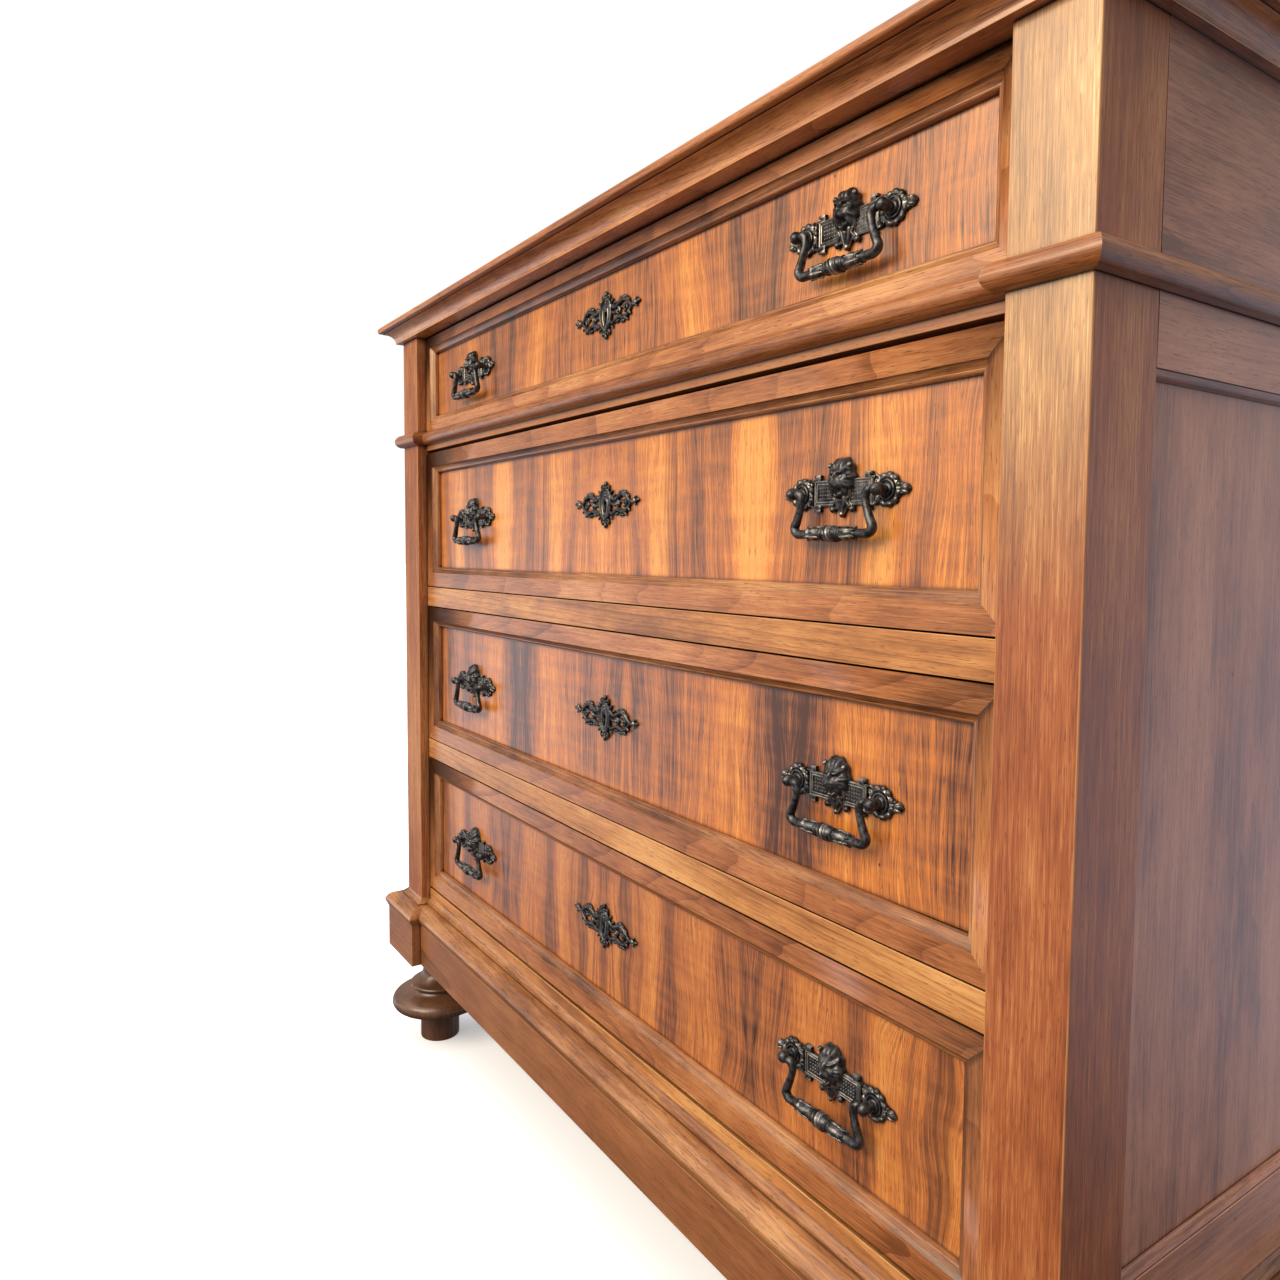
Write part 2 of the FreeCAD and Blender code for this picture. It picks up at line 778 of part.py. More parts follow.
def drawer_front(label, level, height, key):
    blank = board(label + "_blank", ("-drawer_width / 2", "drawer_width / 2"), ("panel_plane", "front_back"),
                  (level, f"{level} + {height}"))
    gap = "lock_clearance"
    recess = board(label + "_lock_recess", (f"-lock_width / 2 - {gap}", f"lock_width / 2 + {gap}"),
                   (f"front_back - lock_depth - {gap}", "front_back"),
                   (f"{key} - lock_height / 2 - {gap}", f"{key} + lock_height / 2 + {gap}"))
    channel = board(label + "_bolt_channel", (f"-bolt_width / 2 - {gap}", f"bolt_width / 2 + {gap}"),
                    (f"front_back - bolt_depth - {gap}", "front_back"),
                    (key, f"{level} + {height}"))
    return cut(label, blank, [recess, channel] + keyhole(label, key, "panel_plane", "front_back - lock_depth"))


def drawer_lock(label, level, height, key):
    # Iron case let into the back of the front, with a long bolt up to the top edge
    case = board(label + "_case", ("-lock_width / 2", "lock_width / 2"), ("front_back - lock_depth", "front_back"),
                 (f"{key} - lock_height / 2", f"{key} + lock_height / 2"))
    bolt = board(label + "_bolt", ("-bolt_width / 2", "bolt_width / 2"), ("front_back - bolt_depth", "front_back"),
                 (f"{key} + lock_height / 2", f"{level} + {height} - bolt_short"))
    return group(label, [case, bolt])


def drawer_box(label, level, height):
    top = f"{level} + {height} - drawer_side_drop"
    inner = "drawer_width / 2 - drawer_side"
    run = ("front_back", "drawer_end")
    pieces = []
    for name, sign in (("left", -1), ("right", 1)):
        x = side_x(sign, "drawer_width / 2", inner)
        pieces.append(board(f"{label}_{name}", x, run, (level, top)))
    pieces.append(board(label + "_back", (f"-({inner})", inner),
                        ("drawer_end - drawer_side", "drawer_end"), (level, top)))
    return group(label, pieces)


def drawer_floor(label, level):
    inner = "drawer_width / 2 - drawer_side"
    low = f"{level} + drawer_bottom_lift"
    return board(label, (f"-({inner})", inner), ("front_back", "drawer_end - drawer_side"),
                 (low, f"{low} + drawer_bottom"))


# Cast handles: backplate with a mask, two studs with ball heads, and the hanging bail

def bar_corners():
    tab = "plate_half_width - tab_width"
    return mirror_corners([
        ("0", "plate_half_height"),
        (tab, "plate_half_height"),
        (tab, "plate_half_height + tab_height"),
        ("plate_half_width", "plate_half_height + tab_height"),
        ("plate_half_width", "plate_half_height - tab_height"),
        ("boss_half", "plate_half_height / 2"),
        ("boss_half", "-plate_half_height / 2"),
        ("plate_half_width", "tab_height - plate_half_height"),
        ("plate_half_width", "-plate_half_height - tab_height"),
        (tab, "-plate_half_height - tab_height"),
        (tab, "-plate_half_height"),
        ("0", "-plate_half_height"),
    ])


def finial_corners(sign):
    start = "boss_half + boss_diameter / 2 - 3"
    return [
        (f"{sign} * ({start})", "3.4"),
        (f"{sign} * ({start} + 5)", "2"),
        (f"{sign} * (finial_reach - 5)", "3.8"),
        (f"{sign} * finial_reach", "0"),
        (f"{sign} * (finial_reach - 5)", "-3.8"),
        (f"{sign} * ({start} + 5)", "-2"),
        (f"{sign} * ({start})", "-3.4"),
    ]


def pendant_corners():
    return mirror_corners([
        ("0", "0"),
        ("11", "0"),
        ("11", "-plate_half_height", "4"),
        ("7", "-plate_half_height - 4"),
        ("4", "-plate_half_height - 4"),
        ("0", "-pendant_drop"),
    ])


def add_studs(body, label):
    # Rosette, stem and ball head; the bail hangs between the two balls
    ball, rosette = "ball_diameter / 2", "(boss_diameter / 2 - 4)"
    near, far = f"pivot_proud - {ball}", f"pivot_proud + {ball}"
    bead(body, label + "_rosette", "XZ_Plane", "plate_thickness / 2", "plate_thickness + 1.4", rosette, "boss_half")
    bead(body, label + "_stem", "XZ_Plane", "plate_thickness", "pivot_proud", "stem_diameter / 2", "boss_half")
    head = bead(body, label + "_ball", "XZ_Plane", near, far, ball, "boss_half")
    return chamfered(body, head, f"0.9 * ({ball} - stem_diameter / 2)", 1, [f"-({near})", f"-({far})"],
                     ("boss_half", "0"), ball)


def handle_plate(label, x, z):
    # Half of the plate with its stud, mirrored, then the mask in the middle
    body = new_body(label)
    bar = new_sketch(body, label + "_bar", "XZ_Plane")
    outline(bar, bar_corners())
    pad(body, bar, "plate_thickness")
    rounds = new_sketch(body, label + "_rounds", "XZ_Plane")
    for sign in (-1, 1):
        flats(rounds, 12, "boss_diameter / 2", "boss_diameter / 2", f"{sign} * boss_half")
    pad(body, rounds, "plate_thickness")
    tips = new_sketch(body, label + "_tips", "XZ_Plane")
    for sign in (-1, 1):
        outline(tips, finial_corners(sign))
    outline(tips, pendant_corners())
    pad(body, tips, "plate_thickness")
    mirrored(body, [add_studs(body, label)])
    add_mask(body, label)
    bore_balls(body, label)
    place(body, x, "panel_plane", z)
    return body


def add_mask(body, label):
    # Head in front of its mane, with the cheeks cut back all round
    face = new_sketch(body, label + "_mask", "XZ_Plane")
    flats(face, 8, "mask_width / 2", "mask_height / 2", "0", "mask_lift")
    head = pad(body, face, "mask_proud")
    chamfered(body, head, "mask_width / 4", 1, ["-mask_proud"], ("0", "mask_lift"), "mask_width / 4")


def bore_balls(body, label):
    # Blind holes for the pins of the bail, in the sides of the balls that face each other
    holes = new_sketch(body, label + "_bores", "YZ_Plane")
    size = "bail_pin_diameter / 2 + bail_pin_clearance"
    flats(holes, 8, size, size, "-pivot_proud")
    feature = body.newObject("PartDesign::Pocket", label + "_bored")
    feature.Profile = holes
    feature.SideType = "Symmetric"
    bind(feature, Length="2 * (boss_half - ball_diameter / 2 + bail_pin_depth + bail_end_gap)")


def bail_path(sketch):
    # From the stub at one ball, down round the grip and up to the other
    half = [
        ("bail_neck + 2", "0"),
        ("bail_neck", "0"),
        ("bail_neck - 0.8 * bail_neck_round", "-0.4 * bail_neck_round"),
        ("bail_neck - 0.96 * bail_neck_round", "-1.3 * bail_neck_round"),
        ("bail_spread", "1.3 * bail_corner_round - bail_drop"),
        ("bail_spread - 0.15 * bail_corner_round", "0.4 * bail_corner_round - bail_drop"),
        ("bail_spread - 0.95 * bail_corner_round", "-bail_drop"),
    ]
    corners = half + [(f"-({x})", y) for x, y in reversed(half)]
    points = [Vector(number(x), number(y), 0) for x, y in corners]
    rules = Rules(sketch)
    for count, (start, stop) in enumerate(zip(points, points[1:])):
        side = sketch.addGeometry(Part.LineSegment(start, stop), False)
        rules.pin(side, 1, *corners[count])
        if count:
            rules.add("Coincident", side - 1, 2, side, 1)
    rules.pin(side, 2, *corners[-1])
    rules.finish()


def bail(label, x, z):
    body = new_body(label)
    path = new_sketch(body, label + "_path", "XZ_Plane")
    bail_path(path)
    section = new_sketch(body, label + "_rod", "YZ_Plane")
    section.AttachmentOffset = Placement(Vector(0, 0, number("bail_neck + 2")), Rotation())
    section.setExpression("AttachmentOffset.Base.z", on_sheet("bail_neck + 2"))
    flats(section, 8, "bail_thickness / 2", "bail_thickness / 2")
    rod = body.newObject("PartDesign::AdditivePipe", label + "_pipe")
    rod.Profile = section
    rod.Spine = (path, [])
    rod.Transition = "Right corner"
    for name, sign in (("left", -1), ("right", 1)):
        near, far = "bail_neck", "boss_half - ball_diameter / 2 + bail_pin_depth"
        ends = (near, far) if sign > 0 else (f"-({far})", f"-{near}")
        bead(body, f"{label}_pin_{name}", "YZ_Plane", ends[0], ends[1], "bail_pin_diameter / 2")
    swells = [("-grip_half_length", "-grip_gap"), ("grip_gap", "grip_half_length")]
    for count, (start, stop) in enumerate(swells):
        bead(body, f"{label}_swell_{count}", "YZ_Plane", start, stop, "grip_swell", "0", "-bail_drop")
    middle = bead(body, label + "_ring", "YZ_Plane", "-grip_ring_half", "grip_ring_half", "grip_ring",
                  "0", "-bail_drop")
    ends = [end for swell in swells for end in swell] + ["-grip_ring_half", "grip_ring_half"]
    chamfered(body, middle, "grip_chamfer", 0, ends, ("0", "-bail_drop"), "grip_swell")
    place(body, x, "pivot_plane", z)
    return body


def escutcheon_corners():
    # Leafy arms at each side of an oval shield, a bud above and a drop below
    wide, wing, shield = "escutcheon_half_width", "escutcheon_wing", "escutcheon_shield"
    return mirror_corners([
        ("0", "escutcheon_top"),
        ("4", "escutcheon_top - 5"),
        ("3.4", "escutcheon_top - 9"),
        (f"{shield} - 6", "12"),
        (shield, "9"),
        (f"{shield} + 7", "4"),
        (f"{wide} - 32", f"{wing} - 1"),
        (f"{wide} - 20", f"{wing} - 3"),
        (f"{wide} - 11", "2"),
        (f"{wide} - 5", "4"),
        (wide, "0"),
        (f"{wide} - 5", "-4"),
        (f"{wide} - 12", "-2.5"),
        (f"{wide} - 20", f"-{wing}"),
        (f"{wide} - 34", f"-{wing} - 1"),
        (f"{shield} + 8", "-8"),
        (f"{shield} + 2", "-13"),
        (f"{shield} - 7", "-16"),
        ("4.6", "5 - escutcheon_bottom"),
        ("0", "-escutcheon_bottom"),
    ])


def keyhole_corners():
    # Eight straight sides for the round head, with the slot below
    half, slot = "keyhole_diameter / 2", "keyhole_slot / 2"
    return mirror_corners([
        ("0", half),
        (f"0.7 * {half}", f"0.7 * {half}"),
        (half, "0"),
        (f"0.7 * {half}", f"-0.7 * {half}"),
        (slot, f"-0.9 * {half}"),
        (slot, "-keyhole_drop"),
        ("0", "-keyhole_drop"),
    ])


def escutcheon(label, key):
    body = new_body(label)
    sketch = new_sketch(body, label + "_plate", "XZ_Plane")
    outline(sketch, escutcheon_corners())
    pad(body, sketch, "escutcheon_thickness")
    holes = new_sketch(body, label + "_piercing", "XZ_Plane")
    outline(holes, keyhole_corners())
    for sign in (-1, 1):
        flats(holes, 8, "2.5", "2.5", f"{sign} * (escutcheon_shield + 4)", "-2")
        flats(holes, 8, "3.5", "3.5", f"{sign} * (escutcheon_half_width - 30)", "-1.5")
    pocket_through(body, holes)
    place(body, "0", "panel_plane", key)
    return body


def drawer(count, level, height, width):
    name = f"drawer_{count}"
    middle = f"{level} + {height} / 2"
    key = f"({middle} + key_lift)"
    pieces = [
        drawer_front(f"{name}_front", level, height, key),
        drawer_frame(f"{name}_frame", level, height, width),
        drawer_box(f"{name}_box", level, height),
        drawer_floor(f"{name}_bottom", level),
        both_sides(f"{name}_handle_plates",
                   lambda label, sign: handle_plate(label, f"{sign} * handle_middle", middle)),
        escutcheon(f"{name}_escutcheon", key),
        drawer_lock(f"{name}_lock", level, height, key),
    ]
    for side, sign in (("left", -1), ("right", 1)):
        pieces.append(bail(f"bail_{count}_{side}", f"{sign} * handle_middle", middle))
    return pieces


def every_piece():
    pieces = [top_board(), cornice(), astragal()]
    pieces += case_pieces()
    pieces += [plinth_cap(), plinth_front(), both_sides("plinth_blocks", plinth_block),
               both_sides("plinth_sides", plinth_side)]
    pieces.append(feet("feet_front", "post_face - foot_reach + bun_diameter / 2"))
    pieces.append(feet("feet_rear", "back_face - bun_diameter / 2"))
    for count, level, height, width in (
            (1, "level_one", "drawer_one_height", "frame_one_width"),
            (2, "level_two", "drawer_two_height", "frame_width"),
            (3, "level_three", "drawer_three_height", "frame_width"),
            (4, "level_four", "drawer_four_height", "frame_width")):
        pieces += drawer(count, level, height, width)
    return pieces


def check_document(pieces):
    for thing in doc.Objects:
        if "Invalid" in thing.State or "Error" in thing.State:
            raise RuntimeError(f"{thing.Label} failed to build")
    for piece in pieces:
        if piece.Shape.isNull() or not piece.Shape.isValid():
            raise RuntimeError(f"{piece.Label} has no sound shape")


def export(pieces):
    os.makedirs("parts", exist_ok=True)
    for piece in pieces:
        piece.Shape.exportStep(f"parts/{piece.Label}.step")
        print(piece.Label, len(piece.Shape.Solids), round(piece.Shape.Volume))


pieces = every_piece()
doc.recompute()
check_document(pieces)
export(pieces)
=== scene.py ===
import json
import math
import random

import bmesh
import bpy
from mathutils import Matrix, Vector

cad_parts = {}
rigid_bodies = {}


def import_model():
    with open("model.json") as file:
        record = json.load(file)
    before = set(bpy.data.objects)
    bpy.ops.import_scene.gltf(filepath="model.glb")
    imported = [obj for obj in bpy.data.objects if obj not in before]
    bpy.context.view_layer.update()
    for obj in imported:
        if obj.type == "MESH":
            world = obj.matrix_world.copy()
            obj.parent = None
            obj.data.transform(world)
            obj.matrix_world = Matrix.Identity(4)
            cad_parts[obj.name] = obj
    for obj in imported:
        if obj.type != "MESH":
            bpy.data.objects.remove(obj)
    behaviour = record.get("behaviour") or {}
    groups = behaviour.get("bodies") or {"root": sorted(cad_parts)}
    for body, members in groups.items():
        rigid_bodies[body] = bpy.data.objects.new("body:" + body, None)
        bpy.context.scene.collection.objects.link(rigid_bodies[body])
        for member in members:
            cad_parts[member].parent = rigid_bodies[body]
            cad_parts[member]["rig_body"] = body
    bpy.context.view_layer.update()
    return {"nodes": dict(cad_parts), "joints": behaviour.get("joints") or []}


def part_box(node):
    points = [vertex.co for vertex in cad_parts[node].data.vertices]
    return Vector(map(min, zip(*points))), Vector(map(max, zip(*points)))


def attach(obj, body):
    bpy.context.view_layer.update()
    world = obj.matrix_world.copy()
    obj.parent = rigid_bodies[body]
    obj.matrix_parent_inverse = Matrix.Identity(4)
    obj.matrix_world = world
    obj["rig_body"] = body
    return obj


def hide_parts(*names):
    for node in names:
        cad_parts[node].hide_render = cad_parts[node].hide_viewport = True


# Walnut chest of four drawers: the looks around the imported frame
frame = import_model()
nodes = frame["nodes"]
mm = 0.001


# Materials

def shade(hexText):
    # sRGB hex to linear
    parts = [int(hexText[i:i + 2], 16) / 255 for i in (0, 2, 4)]
    return [part / 12.92 if part <= 0.04045 else ((part + 0.055) / 1.055) ** 2.4 for part in parts] + [1]


def addNode(tree, kind, links=None, stops=(), **settings):
    # Stops belong to a colour ramp: each a place and a hex colour or a grey
    node = tree.nodes.new("ShaderNode" + kind)
    for name, value in settings.items():
        setattr(node, name, value)
    for socket, source in (links or {}).items():
        target = node.inputs[socket]
        if isinstance(source, bpy.types.NodeSocket):
            tree.links.new(source, target)
        else:
            target.default_value = source
    if stops:
        bar = node.color_ramp.elements
        while len(bar) < len(stops):
            bar.new(0.5)
        for element, (place, colour) in zip(bar, stops):
            element.position = place
            element.color = shade(colour) if isinstance(colour, str) else [colour] * 3 + [1]
    return node


def blended(tree, base, layers):
    # Adds each pattern times its weight about its middle grey
    tone = base - sum(weight for pattern, weight in layers) / 2
    for pattern, weight in layers:
        tone = addNode(tree, "Math", {0: pattern, 1: weight, 2: tone}, operation="MULTIPLY_ADD").outputs[0]
    return tone


def overlaid(tree, colour, layers):
    # Lays each tint over the colour where its mask is
    for mask, tint in layers:
        colour = addNode(tree, "Mix", {0: mask, 6: colour, 7: shade(tint)}, data_type="RGBA").outputs[2]
    return colour


def startMaterial(name):
    material = bpy.data.materials.new(name)
    material.use_nodes = True
    tree = material.node_tree
    tree.nodes.clear()
    return material, tree


def closeMaterial(tree, links):
    surface = addNode(tree, "BsdfPrincipled", links)
    addNode(tree, "OutputMaterial", {"Surface": surface.outputs[0]})


def grainPlace(tree, stretch):
    place = addNode(tree, "Attribute", attribute_name="grainPlace")
    return addNode(tree, "VectorMath", {0: place.outputs["Vector"], 1: stretch}, operation="MULTIPLY").outputs[0]


# What a maker would change in the woods; ring spacing and wander in millimetres
woods = {
    # Rails: pale plain-sawn walnut, French polished, golden where the light falls on it
    "walnutRail": {"dark": "7E4E2C", "mid": "B87D48", "light": "DAA468", "ringSpacing": 7, "slope": 0.03,
                   "wander": 12, "rings": 0.5, "fibre": 0.7, "patch": 1.6, "roughness": 0.36, "coat": 0.25},
    # Drawer frames and top: richer brown from the heart of the tree
    "walnutPolished": {"dark": "6E3F22", "mid": "AD6E42", "light": "D29A66", "ringSpacing": 6, "slope": 0.05,
                       "wander": 9, "rings": 0.35, "fibre": 0.85, "patch": 1.0, "roughness": 0.32, "coat": 0.3},
    # The right front post: straight grain, redder, with open pores, and a painted glare of window light at its
    # upper end
    "walnutPost": {"dark": "6C3A24", "mid": "A05B34", "light": "C88A56", "ringSpacing": 3, "slope": 0.01,
                   "wander": 3, "rings": 0.2, "fibre": 1.0, "patch": 1.1, "roughness": 0.38, "coat": 0.35,
                   "paintedGlare": 1.0},
    # The left post, further from the window: the post's wood a little darker as painted shade, and without the
    # painted glare
    "walnutPostShaded": {"dark": "65371E", "mid": "9A5A34", "light": "C08858", "ringSpacing": 3, "slope": 0.01,
                       "wander": 3, "rings": 0.25, "fibre": 1.1, "patch": 0.9, "roughness": 0.55, "coat": 0.08},
    # Plinth moulding, darker wood; on the slopes inside the drawer frames it is painted shade
    "walnutMoulding": {"dark": "472A18", "mid": "8C5A37", "light": "BC8856", "ringSpacing": 3.4, "slope": 0.03,
                       "wander": 6, "rings": 0.3, "fibre": 0.7, "patch": 1.5, "roughness": 0.3, "coat": 0.4},
    # Cornice, still glossy because nobody touches it
    "walnutCornice": {"dark": "6A3C22", "mid": "C68350", "light": "E8B47E", "ringSpacing": 6, "slope": 0.05,
                      "wander": 9, "rings": 0.35, "fibre": 0.6, "patch": 1.2, "roughness": 0.26, "coat": 0.5},
    # Astragal, polished by sleeves to a warmer brown
    "walnutBead": {"dark": "542C15", "mid": "A3663A", "light": "CC8E56", "ringSpacing": 3.4, "slope": 0.03,
                   "wander": 6, "rings": 0.3, "fibre": 0.7, "patch": 0.9, "roughness": 0.3, "coat": 0.35},
    # Plinth and upper rail, plainer boards, the plinth dull from years of brooms; on the upper rail the darker
    # colour is painted shadow of the astragal
    "walnutPlinth": {"dark": "643E26", "mid": "9C6540", "light": "BC8558", "ringSpacing": 8, "slope": 0.02,
                     "wander": 9, "rings": 0.25, "fibre": 0.6, "patch": 0.8, "roughness": 0.42, "coat": 0.12},
    # Sides of the case: browner, away from the window
    "walnutSide": {"dark": "6E4434", "mid": "AC745A", "light": "C88F72", "ringSpacing": 9, "slope": 0.01,
                   "wander": 12, "rings": 0.2, "fibre": 0.8, "patch": 1.5, "roughness": 0.3, "coat": 0.4},
    # Turned feet, painted darker as shade under the chest
    "walnutFootShaded": {"dark": "2E1D13", "mid": "5A3B2A", "light": "7E5A43", "ringSpacing": 4, "slope": 0.02,
                   "wander": 4, "rings": 0.3, "fibre": 0.7, "patch": 1.2, "roughness": 0.34, "coat": 0.5},
    # Planed poplar inside, bare and yellowed
    "poplarPlain": {"dark": "A98658", "mid": "C7A473", "light": "DCC091", "ringSpacing": 6, "slope": 0.05,
                    "wander": 8, "rings": 0.35, "fibre": 0.4, "patch": 0.5, "roughness": 0.62, "coat": 0.0},
}


def growthRings(tree, wood):
    # Distance from a heart line that leans through the board gives arches on the face
    place = grainPlace(tree, (1, 1, 1))
    wobble = addNode(tree, "TexNoise", {"Vector": grainPlace(tree, (1.7, 9, 9)), "Scale": 1.0,
                                        "Detail": 3.0, "Roughness": 0.5})
    centred = addNode(tree, "VectorMath", {0: wobble.outputs["Color"], 1: (0.5, 0.5, 0.5)},
                      operation="SUBTRACT").outputs[0]
    wander = wood["wander"] * 2 * mm
    moved = addNode(tree, "VectorMath", {0: centred, 1: (0, wander, wander), 2: place},
                    operation="MULTIPLY_ADD").outputs[0]
    split = addNode(tree, "SeparateXYZ", {0: moved})
    depth = addNode(tree, "Math", {0: split.outputs[0], 1: wood["slope"], 2: split.outputs[2]},
                    operation="MULTIPLY_ADD").outputs[0]
    across = addNode(tree, "CombineXYZ", {1: split.outputs[1], 2: depth}).outputs[0]
    away = addNode(tree, "VectorMath", {0: across}, operation="LENGTH").outputs["Value"]
    phase = addNode(tree, "Math", {0: away, 1: wood["ringSpacing"] * mm}, operation="DIVIDE").outputs[0]
    # Good and bad years, then a slow start and a sharp dark end to each ring
    uneven = addNode(tree, "TexNoise", {"W": phase, "Scale": 0.35, "Detail": 2.0}, noise_dimensions="1D").outputs[0]
    phase = addNode(tree, "Math", {0: uneven, 1: 2.4, 2: phase}, operation="MULTIPLY_ADD").outputs[0]
    ring = addNode(tree, "Math", {0: phase}, operation="FRACT").outputs[0]
    late = addNode(tree, "Math", {0: ring, 1: 4.0}, operation="POWER").outputs[0]
    strength = addNode(tree, "TexNoise", {"W": phase, "Scale": 0.6, "Detail": 1.0},
                       noise_dimensions="1D").outputs[0]
    return addNode(tree, "Math", {0: late, 1: strength}, operation="MULTIPLY").outputs[0]


# Dust and painted shade in corners: how far the darkening reaches out of a corner, in millimetres, and how dark it
# is beside the darkest wood
wear = {"cornerReach": 6, "grime": 0.42}


def agedAndCornerShaded(tree, colour, dark, light):
    # Eased edges are rubbed pale in places; corners are darkened, partly as old polish and dust and partly as
    # painted shade
    edge = addNode(tree, "Attribute", attribute_name="easedEdge").outputs["Fac"]
    uneven = addNode(tree, "TexNoise", {"Vector": grainPlace(tree, (14, 60, 60)), "Scale": 1.0,
                                        "Detail": 3.0}).outputs[0]
    patches = addNode(tree, "ValToRGB", {0: uneven}, [(0.34, 0.2), (0.56, 0.85)]).outputs[0]
    rubbed = addNode(tree, "Math", {0: edge, 1: patches}, operation="MULTIPLY").outputs[0]
    # Ambient occlusion darkens corners, creases and gaps: painted shade, standing also for old polish and dust
    corner = addNode(tree, "AmbientOcclusion", {"Distance": wear["cornerReach"] * mm}, samples=8).outputs["AO"]
    grime = addNode(tree, "ValToRGB", {0: corner}, [(0.4, 0.9), (0.8, 0.0)]).outputs[0]
    # A few dents and old worm holes, 1 to 2 mm across
    away = addNode(tree, "TexVoronoi", {"Vector": grainPlace(tree, (11, 17, 17)), "Scale": 1.0}).outputs[0]
    holes = addNode(tree, "ValToRGB", {0: away}, [(0.014, 0.9), (0.024, 0.0)]).outputs[0]
    return overlaid(tree, colour, [(rubbed, light), (grime, dark), (holes, dark)])


# Painted glare of window light on the right front post: metres above the floor where it starts and is full, the
# depth of the front face it falls on, and what it adds to red, green and blue
paintedGlare = {"low": 0.72, "high": 0.86, "back": -0.2365, "front": -0.238, "gain": (0.5, 1.7, 2.4)}


def woodMaterial(name):
    wood = woods[name]
    material, tree = startMaterial(name)

    def layer(stretch, detail, roughness=0.5):
        return addNode(tree, "TexNoise", {"Vector": grainPlace(tree, stretch), "Scale": 1.0,
                                          "Detail": detail, "Roughness": roughness}).outputs[0]

    rings = growthRings(tree, wood)
    # Bands of fibre 3 mm wide, then fibres 0.8 mm apart, a little coarser than real ones so that they show
    bands = layer((9, 330, 330), 3.0, 0.6)
    fibre = layer((34, 1250, 1250), 2.0, 0.6)
    # Open pores, short dark dashes along the grain
    pores = addNode(tree, "ValToRGB", {0: layer((90, 1300, 1300), 1.0)}, [(0.3, 0.8), (0.36, 0.0)]).outputs[0]
    patch = layer((3.2, 15, 15), 3.0)
    blotch = layer((15, 38, 38), 3.0, 0.6)
    board = addNode(tree, "Attribute", attribute_name="boardTone").outputs["Fac"]
    tone = blended(tree, 0.5, [(bands, wood["fibre"] * 0.6), (fibre, wood["fibre"]), (patch, wood["patch"]),
                               (blotch, wood["patch"] * 0.5), (board, 0.2)])
    tone = addNode(tree, "Math", {0: rings, 1: -wood["rings"], 2: tone}, operation="MULTIPLY_ADD").outputs[0]
    colour = addNode(tree, "ValToRGB", {0: tone},
                     [(0.12, wood["dark"]), (0.5, wood["mid"]), (0.88, wood["light"])]).outputs[0]
    colour = overlaid(tree, colour, [(pores, wood["dark"])])
    if "paintedGlare" in wood:
        # Painted glare: the upper end of the post's front face is lit straw yellow, as window light reflected there
        place = addNode(tree, "SeparateXYZ", {0: addNode(tree, "TexCoord").outputs["Object"]})
        height = addNode(tree, "MapRange", {0: place.outputs[2], 1: paintedGlare["low"], 2: paintedGlare["high"],
                                            3: 0.0, 4: wood["paintedGlare"]}).outputs[0]
        facing = addNode(tree, "MapRange", {0: place.outputs[1], 1: paintedGlare["back"], 2: paintedGlare["front"],
                                            3: 0.0, 4: 1.0}).outputs[0]
        glareAmount = addNode(tree, "Math", {0: height, 1: facing}, operation="MULTIPLY").outputs[0]
        gain = addNode(tree, "VectorMath", {0: paintedGlare["gain"], "Scale": glareAmount}, operation="SCALE").outputs[0]
        colour = addNode(tree, "VectorMath", {0: colour, 1: gain, 2: colour},
                         operation="MULTIPLY_ADD").outputs[0]
    # The darkest colour, for the painted shade and dust in corners and for the worm holes
    hollow = "".join(f"{int(int(wood['dark'][i:i + 2], 16) * wear['grime']):02X}" for i in (0, 2, 4))
    colour = agedAndCornerShaded(tree, colour, hollow, wood["light"])
    gloss = addNode(tree, "Math", {0: blotch, 1: 0.2, 2: wood["roughness"] - 0.1},
                    operation="MULTIPLY_ADD").outputs[0]
    relief = addNode(tree, "Math", {0: fibre, 1: -0.4, 2: pores}, operation="MULTIPLY_ADD").outputs[0]
    bump = addNode(tree, "Bump", {"Strength": 0.12, "Distance": 0.2 * mm, "Height": relief}, invert=True).outputs[0]
    closeMaterial(tree, {"Base Color": colour, "Roughness": gloss, "Normal": bump, "IOR": 1.5,
                         "Coat Weight": wood["coat"], "Coat Roughness": 0.2})
    return material


# Figured veneer on the drawer fronts, leaves opened like a book so that each pair mirrors; millimetres
leafWidth = 255
veneers = {
    # Straight striped leaves with brown streaks
    "walnutVeneer": {"dark": "4C2B1B", "streak": "9C5F38", "mid": "CA7A36", "light": "EBA552",
                     "wander": 75, "stripes": 1.05, "clouds": 1.4, "lines": 0.7},
    # Wilder leaves with flames, for the bottom drawer
    "walnutVeneerFlame": {"dark": "46291B", "streak": "955B38", "mid": "C0743B", "light": "DC9852",
                          "wander": 170, "stripes": 1.0, "clouds": 1.2, "lines": 0.65},
}


